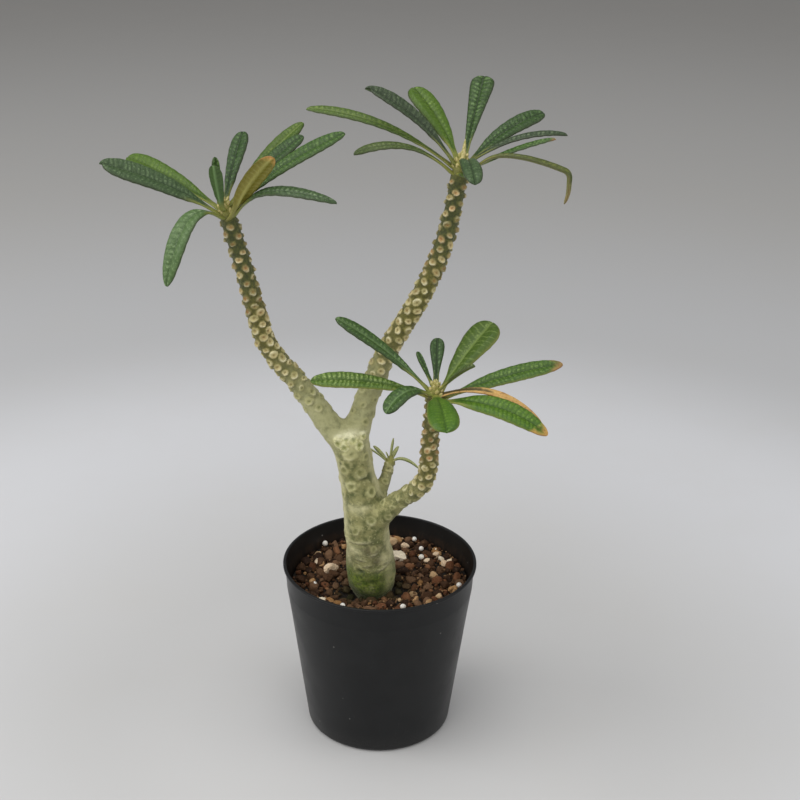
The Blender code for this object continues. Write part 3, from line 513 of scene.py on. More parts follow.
class Graph:
    """The node tree of one material, round its Principled BSDF."""

    def __init__(self, name, roughness, **settings):
        self.material = bpy.data.materials.new(name)
        self.material.use_nodes = True
        self.tree = self.material.node_tree
        self.shader = self.tree.nodes["Principled BSDF"]
        self.shader.inputs["Roughness"].default_value = roughness
        for label, value in settings.items():
            self.shader.inputs[label.replace("_", " ")].default_value = value
        self.place = self.node("ShaderNodeTexCoord").outputs["Object"]

    def node(self, kind, **settings):
        made = self.tree.nodes.new(kind)
        for label, value in settings.items():
            setattr(made, label, value)
        return made

    def feed(self, socket, source):
        """Joins an output to a socket, or sets the socket to a value or a colour."""
        if isinstance(source, bpy.types.NodeSocket):
            self.tree.links.new(source, socket)
        elif isinstance(source, tuple):
            socket.default_value = (*source, 1.0)
        else:
            socket.default_value = source

    def attribute(self, name):
        return self.node("ShaderNodeAttribute", attribute_name=name).outputs["Fac"]

    def stretched(self, upward):
        """The object's coordinates with the upward one scaled."""
        mapping = self.node("ShaderNodeMapping")
        mapping.inputs["Scale"].default_value = (1.0, 1.0, upward)
        self.feed(mapping.inputs["Vector"], self.place)
        return mapping.outputs["Vector"]

    def noise(self, size, detail=3.0, roughness=0.55, place=None):
        """Soft noise whose features are about size millimetres across."""
        made = self.node("ShaderNodeTexNoise")
        made.inputs["Scale"].default_value = 1.0 / (size * MM)
        made.inputs["Detail"].default_value = detail
        made.inputs["Roughness"].default_value = roughness
        self.feed(made.inputs["Vector"], place or self.place)
        return made.outputs["Fac"]

    def cells(self, size):
        """Distance from the middle of cells that are about size millimetres across."""
        made = self.node("ShaderNodeTexVoronoi", feature="F1")
        made.inputs["Scale"].default_value = 1.0 / (size * MM)
        self.feed(made.inputs["Vector"], self.place)
        return made.outputs["Distance"]

    def math(self, operation, first, second=0.0):
        made = self.node("ShaderNodeMath", operation=operation)
        self.feed(made.inputs[0], first)
        self.feed(made.inputs[1], second)
        return made.outputs[0]

    def times(self, first, second):
        return self.math("MULTIPLY", first, second)

    def span(self, value, low, high, start=0.0, end=1.0):
        """Soft step of a value from start at low to end at high."""
        made = self.node("ShaderNodeMapRange", interpolation_type="SMOOTHSTEP")
        self.feed(made.inputs["Value"], value)
        made.inputs["From Min"].default_value = low
        made.inputs["From Max"].default_value = high
        made.inputs["To Min"].default_value = start
        made.inputs["To Max"].default_value = end
        return made.outputs["Result"]

    def mix(self, share, first, second):
        made = self.node("ShaderNodeMix", data_type="RGBA")
        self.feed(made.inputs[0], share)
        self.feed(made.inputs[6], first)
        self.feed(made.inputs[7], second)
        return made.outputs[2]

    def layered(self, colour, *layers):
        """A colour with others over it, each as the colour and the factors of its share."""
        for over, share, *factors in layers:
            for factor in factors:
                share = self.times(share, factor)
            colour = self.mix(share, colour, over)
        return colour

    def coordinates(self):
        """The object's own x, y and z in metres."""
        split = self.node("ShaderNodeSeparateXYZ")
        self.feed(split.inputs[0], self.place)
        return split.outputs

    def bump(self, *layers):
        """Bump from pairs of a height output and its depth in millimetres."""
        normal = None
        for height, depth in layers:
            made = self.node("ShaderNodeBump")
            made.inputs["Strength"].default_value = 1.0
            made.inputs["Distance"].default_value = depth * MM
            self.feed(made.inputs["Height"], height)
            if normal is not None:
                self.feed(made.inputs["Normal"], normal)
            normal = made.outputs["Normal"]
        self.feed(self.shader.inputs["Normal"], normal)

    def colour(self, source):
        self.feed(self.shader.inputs["Base Color"], source)

    def roughness(self, source):
        self.feed(self.shader.inputs["Roughness"], source)


def mesh_piece(name, points, faces, material, slot, attributes=None, replaces=()):
    """A smooth piece of the object, from points in millimetres."""
    mesh = bpy.data.meshes.new(name)
    mesh.from_pydata(np.asarray(points) * MM, [], faces)
    mesh.validate()
    mesh.shade_smooth()
    for label, values in (attributes or {}).items():
        layer = mesh.attributes.new(label, "FLOAT", "POINT")
        layer.data.foreach_set("value", np.asarray(values, np.float32))
    mesh.materials.append(material)
    piece = bpy.data.objects.new(name, mesh)
    bpy.context.scene.collection.objects.link(piece)
    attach(piece, BODY)
    if replaces:
        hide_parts(*replaces)
    return piece


def tube_faces(rows, ring):
    """Quads of a tube of closed rings, and the polygons that cap its two ends."""
    faces = []
    for i in range(rows - 1):
        for j in range(ring):
            following = (j + 1) % ring
            faces.append((i * ring + j, i * ring + following,
                          (i + 1) * ring + following, (i + 1) * ring + j))
    faces.append(tuple(reversed(range(ring))))
    faces.append(tuple((rows - 1) * ring + j for j in range(ring)))
    return faces


def join_parts(parts):
    """Points and faces of several closed parts as one mesh."""
    points, faces, count = [], [], 0
    for places, corners in parts:
        points.append(places)
        faces += [tuple(count + v for v in face) for face in corners]
        count += len(places)
    return np.vstack(points), faces


def ring_places(reach, count):
    """Places at even turns round a circle."""
    turns = [2 * math.pi * k / count for k in range(count)]
    return [(reach * math.cos(turn), reach * math.sin(turn)) for turn in turns]


def evaluated_mesh(item):
    """A new mesh of an object with its modifiers applied."""
    bpy.context.view_layer.update()
    graph = bpy.context.evaluated_depsgraph_get()
    return bpy.data.meshes.new_from_object(item.evaluated_get(graph))


# Stem

def spline_point(a, b, c, d, share):
    """Point on the smooth curve between b and c, with a before and d after them."""
    square, cube = share * share, share ** 3
    return 0.5 * (2 * b + (c - a) * share + (2 * a - 5 * b + 4 * c - d) * square
                  + (3 * b - a - 3 * c + d) * cube)


def lengths_along(points):
    """Length of the way from the first point to each point."""
    steps = np.linalg.norm(np.diff(points, axis=0), axis=1)
    return np.append(0.0, np.cumsum(steps))


def even_path(stations, spacing):
    """Centres and radii at even steps along the smooth curve through the stations."""
    knots = np.array(stations, float)
    knots = np.vstack([2 * knots[0] - knots[1], knots, 2 * knots[-1] - knots[-2]])
    fine = [spline_point(*knots[k - 1:k + 3], step / CURVE_STEPS)
            for k in range(1, len(knots) - 2) for step in range(CURVE_STEPS)]
    fine = np.array(fine + [knots[-2]])
    lengths = lengths_along(fine[:, :3])
    wanted = np.linspace(0.0, lengths[-1], max(2, round(lengths[-1] / spacing)) + 1)
    return np.stack([np.interp(wanted, lengths, fine[:, c]) for c in range(4)], axis=1)


def crown_axis(branch):
    return (Vector(branch[-1][:3]) - Vector(branch[-3][:3])).normalized()


def crown_middle(branch):
    return Vector(branch[-1][:3]) + crown_axis(branch) * CROWN_RISE


def with_crown(branch):
    top, axis = Vector(branch[-1][:3]), crown_axis(branch)
    return branch + [(*(top + axis * rise), radius) for rise, radius in CROWN_TAPER]


def crown_radius(branch, seat):
    """Radius of the crown at a height over its middle."""
    rises = [0.0] + [rise for rise, radius in CROWN_TAPER]
    radii = [branch[-1][3]] + [radius for rise, radius in CROWN_TAPER]
    return float(np.interp(CROWN_RISE + seat, rises, radii))


def path_frames(path):
    """Side and across directions at each station of a path."""
    headings = np.gradient(path[:, :3], axis=0)
    headings /= np.linalg.norm(headings, axis=1, keepdims=True)
    side = np.array([0.0, 1.0, 0.0])
    sides = []
    for heading in headings:
        side = side - heading * side.dot(heading)
        side = side / np.linalg.norm(side)
        sides.append(side)
    sides = np.array(sides)
    return sides, np.cross(headings, sides)


def tube_points(path, ring):
    """Rings of points round a path of centres and radii."""
    sides, across = path_frames(path)
    turns = np.arange(ring) * 2 * math.pi / ring
    outward = (sides[:, None] * np.cos(turns)[None, :, None]
               + across[:, None] * np.sin(turns)[None, :, None])
    return (path[:, None, :3] + outward * path[:, None, 3:]).reshape(-1, 3)


def limb_distance(points, path):
    """Distance of points to a limb's surface, the way out of it, and the share along it."""
    starts, ends = path[:-1, :3], path[1:, :3]
    runs = ends - starts
    lengths = (runs ** 2).sum(axis=1)
    best = np.full(len(points), 1e9)
    out = np.zeros_like(points)
    share = np.zeros(len(points))
    for k in range(len(runs)):
        along = np.clip(((points - starts[k]) @ runs[k]) / lengths[k], 0.0, 1.0)
        radial = points - starts[k] - along[:, None] * runs[k]
        reach = np.linalg.norm(radial, axis=1)
        gap = reach - (path[k, 3] + along * (path[k + 1, 3] - path[k, 3]))
        nearer = gap < best
        best[nearer] = gap[nearer]
        out[nearer] = radial[nearer] / np.maximum(reach[nearer, None], 1e-6)
        share[nearer] = (k + along[nearer]) / len(runs)
    return best, out, share


def blended_skin(points, paths):
    """Moves points on to the skin that joins all limbs smoothly; returns them and their limbs."""
    for _ in range(SETTLE_ROUNDS):
        found = [limb_distance(points, path) for path in paths]
        gaps = np.stack([gap for gap, out, share in found])
        weights = np.exp(-(gaps - gaps.min(axis=0)) / BLEND)
        level = gaps.min(axis=0) - BLEND * np.log(weights.sum(axis=0))
        weights /= weights.sum(axis=0)
        push = sum(weight[:, None] * out for weight, (gap, out, share) in zip(weights, found))
        push /= np.maximum(np.linalg.norm(push, axis=1, keepdims=True), LEAST_PUSH)
        points = points - level[:, None] * push
    shares = np.stack([share for gap, out, share in found])
    return points, weights, shares


def remeshed_union(paths):
    """Points and faces of one closed surface round all the limbs' tubes."""
    points, faces = join_parts([(tube_points(path, TUBE_SIDES), tube_faces(len(path), TUBE_SIDES))
                                for path in paths])
    mesh = bpy.data.meshes.new("limbs")
    mesh.from_pydata(points, [], faces)
    rough = bpy.data.objects.new("limbs", mesh)
    bpy.context.scene.collection.objects.link(rough)
    remesh = rough.modifiers.new("Remesh", "REMESH")
    remesh.mode = "VOXEL"
    remesh.voxel_size = SKIN_VOXEL
    joined = evaluated_mesh(rough)
    bpy.data.objects.remove(rough)
    places = np.zeros(len(joined.vertices) * 3, np.float32)
    joined.vertices.foreach_get("co", places)
    corners = [tuple(face.vertices) for face in joined.polygons]
    return places.reshape(-1, 3).astype(float), corners


def scar_list(path, table, draw, start, end):
    """Scars in a spiral along a limb: place, ring radius, height and share of the way."""
    sides, across = path_frames(path)
    length = np.linalg.norm(np.diff(path[:, :3], axis=0), axis=1).sum()
    ways, steps, radii, heights = zip(*table)
    scars = []
    turn, share = draw.uniform(0, TURN), start
    while share < end:
        at = share * (len(path) - 1)
        k = min(int(at), len(path) - 2)
        centre = path[k] + (path[k + 1] - path[k]) * (at - k)
        out = sides[k] * math.cos(turn) + across[k] * math.sin(turn)
        ring = float(np.interp(share, ways, radii)) * draw.uniform(0.76, 1.15)
        height = float(np.interp(share, ways, heights)) * draw.uniform(0.75, 1.2)
        scars.append((centre[:3] + out * centre[3], ring, height, share))
        turn += GOLDEN_ANGLE + draw.uniform(-0.12, 0.12)
        share += float(np.interp(share, ways, steps)) / length * draw.uniform(0.9, 1.1)
    return scars


def front_spot(tree, points, x, z):
    """The foremost point of the trunk at an x and z."""
    near = [(points[k], k) for _, k, _ in tree.find_range(Vector((x, TRUNK[0][1], z)), FRONT_SEARCH)]
    _, k = min((p[1], k) for p, k in near if math.hypot(p[0] - x, p[2] - z) < FRONT_SLACK)
    return points[k]


def vertex_normals(points, faces):
    corners = np.array(faces)
    normals = np.cross(points[corners[:, 2]] - points[corners[:, 0]],
                       points[corners[:, 3]] - points[corners[:, 1]])
    summed = np.zeros_like(points)
    for c in range(4):
        np.add.at(summed, corners[:, c], normals)
    return summed / np.maximum(np.linalg.norm(summed, axis=1, keepdims=True), 1e-9)


def stem_material():
    graph = Graph("stem_skin", 0.62, Sheen_Weight=0.24, Sheen_Roughness=0.45,
                  Specular_IOR_Level=0.32)
    graph.shader.inputs["Sheen Tint"].default_value = (0.95, 0.92, 0.68, 1.0)
    span, mark = graph.span, graph.attribute
    age, warm, cup, worn = mark("age"), mark("warm"), mark("cup"), mark("worn")
    patch = graph.noise(3.2, 5.0, 0.65)
    blotch = graph.noise(5.5, 4.0, 0.6, graph.stretched(1.3))
    cracks = graph.noise(2.4, 6.0, 0.75, graph.stretched(2.6))
    fine = graph.noise(1.2, 5.0, 0.65)
    grain = graph.noise(0.45, 4.0, 0.6)

    # Skin: dark olive above, paler and greyer with age, with the marks on the trunk
    skin = graph.mix(span(fine, 0.35, 0.7), (0.038, 0.047, 0.012), (0.098, 0.108, 0.028))
    ochre = graph.mix(span(fine, 0.35, 0.7), (0.075, 0.070, 0.012), (0.150, 0.138, 0.030))
    old = graph.mix(span(blotch, 0.38, 0.62), (0.104, 0.118, 0.036), (0.266, 0.258, 0.104))
    old = graph.layered(
        old,
        ((0.430, 0.410, 0.190), span(patch, 0.48, 0.66, 0.0, 0.75)),
        ((0.480, 0.455, 0.230), span(graph.cells(2.3), 0.20, 0.08, 0.0, 0.55)),
        ((0.094, 0.106, 0.036), span(fine, 0.47, 0.32, 0.0, 0.50)),
        ((0.430, 0.424, 0.220), mark("pale"), span(patch, 0.25, 0.6, 0.30, 0.85)))
    skin = graph.layered(
        skin,
        (ochre, mark("ochre")),
        (old, age),
        ((0.520, 0.490, 0.320), span(cracks, 0.56, 0.64), worn, 0.7),
        ((0.330, 0.320, 0.080), mark("young"), 0.75),
        ((0.110, 0.092, 0.045), mark("brown"), span(patch, 0.25, 0.60, 0.35, 0.75)),
        # The cream layer holds the cream marks, the side shoot's knob and the painted sheen on the
        # trunk's sides
        ((0.640, 0.608, 0.340), mark("cream"), span(patch, 0.25, 0.60, 0.35, 0.86)),
        ((0.190, 0.250, 0.022), mark("lime"), span(patch, 0.25, 0.60, 0.35, 0.85)))

    # Scars: an olive cushion, a cream disc with a painted highlight as a bright crescent on its rim, a
    # tan cup and a brown or orange pit
    bed = graph.mix(warm, (0.240, 0.215, 0.060), (0.170, 0.140, 0.042))
    cream = graph.layered(
        (0.680, 0.610, 0.320),
        ((0.640, 0.380, 0.160), warm, span(fine, 0.25, 0.65)),
        ((0.560, 0.545, 0.270), span(age, 0.45, 1.0)))
    broken = graph.mix(age, span(fine, 0.30, 0.55, 0.45, 1.0), span(patch, 0.32, 0.54, 0.35, 1.0))
    tan = graph.mix(warm, (0.300, 0.250, 0.085), (0.380, 0.160, 0.050))
    tan = graph.mix(span(age, 0.45, 0.95), tan, (0.205, 0.215, 0.078))
    hole = graph.mix(warm, (0.130, 0.095, 0.030), (0.260, 0.080, 0.020))
    hole = graph.mix(span(age, 0.45, 0.95), hole, (0.120, 0.130, 0.040))
    lime = graph.mix(span(fine, 0.35, 0.60), (0.560, 0.545, 0.215), (0.840, 0.815, 0.480))
    lime = graph.layered(lime, ((0.150, 0.178, 0.026), cup, 0.92))
    skin = graph.layered(
        skin,
        (bed, mark("cushion"), span(age, 0.3, 0.9, 0.85, 0.30), span(fine, 0.2, 0.65, 0.4, 1.0)),
        (cream, mark("ring"), span(age, 0.45, 1.0, 1.0, 0.74), broken),
        # The painted highlight: a bright crescent on the scar's rim
        ((0.830, 0.790, 0.560), mark("lip"), span(age, 0.5, 1.0, 1.0, 0.5)),
        (tan, cup, 0.75),
        (hole, mark("pit"), span(age, 0.5, 1.0, 0.90, 0.60)),
        (lime, mark("fork"), span(fine, 0.2, 0.6, 0.5, 0.95)),
        ((0.860, 0.840, 0.570), mark("glow"), span(fine, 0.3, 0.6, 0.50, 1.0)))

    # Foot: moss, pale folds, the painted shade of the shade marks and the hollows, and painted shade
    # along the soil line
    green = graph.mix(span(fine, 0.40, 0.60), (0.040, 0.080, 0.004), (0.152, 0.208, 0.020))
    skin = graph.layered(
        skin,
        (green, mark("moss"), span(patch, 0.28, 0.60, 0.35, 1.0)),
        ((0.520, 0.490, 0.290), mark("fold"), span(fine, 0.3, 0.55, 0.3, 1.0), 0.75),
        ((0.026, 0.042, 0.004), mark("shade"), 0.80),
        # Painted shade in the hole pressed into the foot
        ((0.016, 0.036, 0.002), mark("hole")),
        # Painted shade on the foot just above the soil
        ((0.014, 0.022, 0.004), mark("damp")))
    graph.colour(skin)
    graph.roughness(span(fine, 0.3, 0.7, 0.48, 0.74))
    graph.bump((patch, 0.55), (fine, 0.45), (grain, 0.16), (graph.times(cracks, worn), 1.20))
    return graph.material


def scar_profile(reach):
    """Height of a scar by distance from its middle, in scar radii: a mound with a cup in it."""
    return smooth(reach, 1.06, 0.62) - 0.75 * np.exp(-(reach / 0.42) ** 2)


def press_scars(points, normals, scars, draw):
    """Height and colour layers of the scars."""
    tree = point_tree(points)
    lift = np.zeros(len(points))
    layers = {label: np.zeros(len(points)) for label in SCAR_LAYERS}
    for spot, radius, height, upper, fork, old in scars:
        _, middle, gap = tree.find(Vector(spot))
        if gap > SCAR_SNAP:
            continue
        near = np.array([k for _, k, _ in tree.find_range(Vector(points[middle]), SCAR_SPAN * radius)])
        out = normals[middle]
        away = points[near] - points[middle]
        away = away - np.outer(away @ out, out)
        bearing = np.arctan2(away[:, 2], away @ np.cross(out, [0.0, 0.0, 1.0]))
        stretch = 1 + draw.uniform(0.0, 0.20) * np.cos(2 * bearing + draw.uniform(0, TURN))
        ragged = np.array([noise.noise(Vector(points[k] / (0.9 + 0.7 * old))) for k in near])
        reach = np.linalg.norm(away, axis=1) / radius * stretch + (0.13 + 0.09 * old) * ragged
        facing = normals[near] @ out > 0.1
        warmth = draw.uniform(0.25, 1.0) if upper else draw.uniform(0.0, 0.28)
        tone = 0.12 + 0.75 * draw.random() ** 1.5 if upper else draw.uniform(0.50, 1.0)
        if upper:
            # Kept for the order of the draws that follow
            draw.uniform(0.78, 1.05)
        # Bearing of the painted highlight, a bright crescent on the rim, mostly on the lower side as if
        # lit from above
        lip = draw.uniform(-2.7, -1.1) if draw.random() < 0.8 else draw.uniform(0.6, 2.5)
        toward = np.cos(bearing - lip)
        # Toward the painted highlight the scar stands higher, and its disc is painted brighter there and
        # darker on the far side, as painted light and shade
        lopsided = 1 + draw.uniform(0.15, 0.45) * toward
        crescent = np.exp(-((reach - 0.62) / 0.15) ** 2) * np.clip(toward, 0, 1) ** 0.8
        # The tan cup and the pit are shifted a little away from the painted highlight, which paints
        # shade into the far side of the scar
        off = draw.uniform(0.04, 0.16)
        reach_pit = np.hypot(reach * toward + off, reach * np.sin(bearing - lip))
        rise = height * scar_profile(reach) * lopsided * facing
        disc = tone * smooth(reach, 0.86, 0.70) * np.clip(lopsided, 0.5, 1.15)
        ring = tone * np.exp(-((reach - 0.58) / 0.25) ** 2)
        cup = FORK_CUP if fork else SCAR_CUP
        for label, values in (("ring", np.clip(disc * (1 - old) + ring * old, 0, 1)),
                              ("lip", draw.uniform(0.2, 0.9) * crescent * (1 - 0.6 * old)),
                              ("cup", np.exp(-(reach_pit / cup) ** 2)),
                              ("pit", np.exp(-(reach_pit / draw.uniform(0.11, 0.19)) ** 2)),
                              ("cushion", smooth(reach, 1.12, 0.75)),
                              ("fork", fork * smooth(reach, 1.15, 0.8))):
            layers[label][near] = np.maximum(layers[label][near], values * facing)
        layers["warm"][near] = np.where(reach < 1.1, warmth, layers["warm"][near])
        lift[near] = np.where(np.abs(rise) > np.abs(lift[near]), rise, lift[near])
    return lift, layers


def press_marks(points, normals):
    """Height and colour layers of the marks on the trunk's front."""
    lift = np.zeros(len(points))
    layers = {kind: np.zeros(len(points)) for kind in MARK_KINDS}
    front = smooth(-normals[:, 1], -0.05, 0.35)
    for x, z, wide, tall, slope, kind in TRUNK_MARKS:
        across = (points[:, 0] - x) / wide
        up = (points[:, 2] - z - slope * (points[:, 0] - x) * (1 + 0.5 * across)) / tall
        spread = np.exp(-across ** 2 - up ** 2) * front
        layers[kind] = np.maximum(layers[kind], spread)
        if kind == "fold":
            lift += 0.45 * spread - 0.45 * np.exp(-across ** 2 - (up + 1.5) ** 2) * front
        if kind == "hole":
            lift -= 1.1 * spread
        if kind == "glow":
            lift += 0.30 * spread
    return lift, layers


def point_tree(points):
    tree = kdtree.KDTree(len(points))
    for k, spot in enumerate(points):
        tree.insert(spot, k)
    tree.balance()
    return tree


def over_the_fork(spot):
    """Whether a spot lies on the front of the fork, where only the listed scars go."""
    x, y, z = spot
    return x < 5.0 and y < TRUNK[0][1] and 148.0 < z < 160.0


def stem_scars(tree, points, paths, draw):
    """The listed scars, and those laid along the limbs that keep clear of them."""
    laid = []
    tables = [BRANCH_SCARS, BRANCH_SCARS, LOW_BRANCH_SCARS, TRUNK_SCARS, STUB_SCARS]
    for limb, (path, table) in enumerate(zip(paths, tables)):
        branch = limb < MAIN
        top = SCAR_TOP if branch else 1.0
        for spot, ring, height, share in scar_list(path, table, draw, 0.0, top):
            if limb == LOW and share < LOW_BRANCH_BARE:
                continue
            old = 1.0 if limb == MAIN else 1.0 - float(smooth(share, 0.10, 0.34))
            laid.append(Scar(spot, ring, height, branch and share > UPPER_SHARE, 0.0, old))
    chosen = []
    for fork, rings in ((0.0, FRONT_RINGS), (1.0, FORK_RINGS)):
        for x, z, ring, height in rings:
            spot = front_spot(tree, points, x, z)
            chosen.append(Scar(spot, ring, height, False, fork, 0.0 if fork else 1.0))
    taken = np.array([scar.spot for scar in chosen])
    for scar in laid:
        room = np.linalg.norm(taken - scar.spot, axis=1).min()
        if room > SCAR_ROOM and not over_the_fork(scar.spot):
            chosen.append(scar)
    return chosen


def stem_layers(points, normals, weights, shares):
    """Colour layers of the skin by limb, way up and height, at the finished points."""
    height = points[:, 2]
    branches, ways = weights[:MAIN], shares[:MAIN]
    aged = 1 - smooth(ways - np.array(AGE_SHIFTS)[:, None], 0.16, 0.47)
    middle_part = smooth(ways, 0.20, 0.34) * (1 - smooth(ways, 0.60, 0.75))
    front_left = 0.5 - 0.35 * normals[:, 0] - 0.35 * normals[:, 1]
    age = (branches * aged).sum(axis=0) + weights[MAIN] + 0.92 * weights[STUB]
    return {
        "age": age,
        "young": (branches * smooth(ways, 0.925, 0.975)).sum(axis=0),
        "pale": (smooth(height, 138.0, 152.0) * age * (1 - 0.6 * weights[LOW])
                 + 0.6 * weights[STUB]).clip(0, 1),
        "worn": 0.7 * smooth(height, 103.0, 92.0) * smooth(height, 80.0, 86.0),
        "ochre": ((branches * middle_part).sum(axis=0) + weights[STUB]
                  + 0.8 * weights[LOW] * smooth(shares[LOW], 0.55, 0.70)),
        "moss": smooth(height, 89.0, 82.0) * (0.35 + 0.65 * smooth(front_left, 0.3, 0.85)),
        # Painted shade on the trunk's foot just above the soil
        "damp": 0.82 * smooth(height, 77.0, 71.0),
    }


def make_stem():
    draw = random.Random(SEED)
    paths = [even_path(with_crown(branch), PATH_STEP) for branch in BRANCHES.values()]
    paths += [even_path(TRUNK, PATH_STEP), even_path(SHOOT_STUB, PATH_STEP)]
    points, faces = remeshed_union(paths)
    points, weights, shares = blended_skin(points, paths)
    normals = vertex_normals(points, faces)
    body = np.where(weights.argmax(axis=0) == MAIN, 1.0, THIN_LIMB_LUMPS)
    lumps = np.array([noise.noise(Vector(p / LUMP_SIZE)) for p in points])
    dents = np.array([noise.noise(Vector(p / DENT_SIZE) + Vector((9.0, 4.0, 2.0))) for p in points])
    points = points + normals * (body * (LUMP_HEIGHT * lumps + DENT_DEPTH * dents))[:, None]

    scars = stem_scars(point_tree(points), points, paths, draw)
    lift, layers = press_scars(points, normals, scars, draw)
    mark_lift, marks = press_marks(points, normals)
    layers.update(marks)
    # Painted sheen: the trunk's left and right sides, and the branches near the fork, are made paler in
    # the cream layer
    fork_sheen_share = 0.5 * weights[:LOW].sum(axis=0) * smooth(points[:, 2], 185.0, 150.0)
    painted_sheen_flanks = smooth(np.abs(normals[:, 0]), 0.66, 0.95) * smooth(points[:, 2], 83.0, 92.0)
    layers["cream"] = np.maximum(layers["cream"], 0.9 * painted_sheen_flanks * (weights[MAIN] + fork_sheen_share))
    points = points + normals * (lift + mark_lift)[:, None]
    layers.update(stem_layers(points, normals, weights, shares))
    material = stem_material()
    mesh_piece("stem_skin", points, faces, material, "stem_bark", layers, ["stem"])
    return material


# Leaves

def blade_width(share, leaf):
    """Half width of a blade as a share of its widest: narrow below, broad near a round tip."""
    return share ** leaf.taper * (1 - share ** leaf.blunt) ** TIP_ROUNDING


def leaf_base(branch, leaf):
    """Where the petiole starts on the crown's surface."""
    axis, middle = crown_axis(branch), crown_middle(branch)
    height, bearing = leaf.seat
    out = Vector((math.cos(math.radians(bearing)), math.sin(math.radians(bearing)), 0.0))
    out = (out - axis * out.dot(axis)).normalized()
    tip = Vector(leaf.tip)
    rise = math.asin(tip.normalized().z) + math.atan2(leaf.knee[1], leaf.knee[0] * tip.length)
    swing = math.radians(bearing) - math.atan2(tip.y, tip.x)
    room = PETIOLE_THICK / 2 * max(0.2, math.sin(rise)) + PETIOLE_WIDTH / 2 * abs(math.sin(swing))
    return middle + axis * height + out * (crown_radius(branch, height) + GAP + room), out


def arch(base, leaf, crown, shares):
    """Centres, headings, across and face directions of a leaf's midrib."""
    base, tip = np.array(base), np.array(crown + Vector(leaf.tip))
    chord = tip - base
    out = np.array([chord[0], chord[1], 0.0]) / math.hypot(chord[0], chord[1])
    flat = np.cross(out, [0.0, 0.0, 1.0])
    lift = np.cross(flat, chord)
    lift /= np.linalg.norm(lift)
    knee = base + chord * leaf.knee[0] + lift * leaf.knee[1]
    near, middle, far = (1 - shares) ** 2, 2 * leaf.grip * shares * (1 - shares), shares ** 2
    total = (near + middle + far)[:, None]
    centres = (np.outer(near, base) + np.outer(middle, knee) + np.outer(far, tip)) / total
    if leaf.name in LEAF_PATHS:
        spots = [(*base, 0.0)] + [(*(crown + Vector(spot)), 0.0) for spot in LEAF_PATHS[leaf.name]]
        line = even_path(spots, 0.5)
        ways = np.linspace(0.0, 1.0, len(line))
        centres = np.stack([np.interp(shares, ways, line[:, axis]) for axis in range(3)], axis=1)
    ahead = np.gradient(centres, axis=0)
    ahead /= np.linalg.norm(ahead, axis=1, keepdims=True)
    face = np.cross(flat, ahead)
    face /= np.linalg.norm(face, axis=1, keepdims=True)
    turn = np.radians(leaf.roll) * np.minimum(1.0, shares / TURN_IN)
    cos, sin = np.cos(turn)[:, None], np.sin(turn)[:, None]
    across = flat * cos + np.cross(ahead, np.broadcast_to(flat, ahead.shape)) * sin
    face = face * cos + np.cross(ahead, face) * sin
    return centres, ahead, across, face


def leaf_shares(veins):
    """Shares of the way at which a leaf has its rings, closer toward the tip."""
    petiole = np.linspace(0.0, PETIOLE_SHARE, 9)[:-1]
    turn = np.linspace(0.0, 1.0, veins * ROWS_PER_VEIN)
    return np.append(petiole, PETIOLE_SHARE + (LAST_SHARE - PETIOLE_SHARE) * (1 - (1 - turn) ** 1.5))


def quilting(leaf, arc, half, v, gap, draw):
    """The leaf's unevenness, its side veins as a row of ridges, and the pillows between them."""
    out, front = np.abs(v), v < 0
    shift = draw.uniform(0, 1)
    jitter = np.array([[noise.noise(Vector((a / 7.0, s * 3.1, shift * 50))) for s in (-1, 1)]
                       for a in arc[:, 0]])
    jitter = np.where(front, jitter[:, :1], jitter[:, 1:])
    uneven = np.array([[noise.noise(Vector((a / 2.2, s * h / 2.2, shift * 70))) for s in v[0]]
                       for a, h in zip(arc[:, 0], half[:, 0])])
    laddered = leaf.name in LADDERED
    slant = 0.5 * VEIN_SLANT if laddered else VEIN_SLANT
    reach = arc - slant * half * out ** 1.4
    phase = reach / gap + np.where(front, 0.5, 0.0) + shift + 0.32 * jitter + 0.26 * uneven
    ridge = np.abs(np.sin(math.pi * phase))
    lane = out * half / LANE + 0.5 * (np.floor(phase) % 2) + 0.3 * jitter + 0.25 * uneven
    lanes = 0.15 if laddered else 0.55
    cross = 1 - lanes + lanes * np.abs(np.sin(math.pi * lane)) ** 0.8
    pillow = ridge ** 0.7 * cross * (1 + 0.5 * uneven)
    return shift, jitter, uneven, ridge, pillow


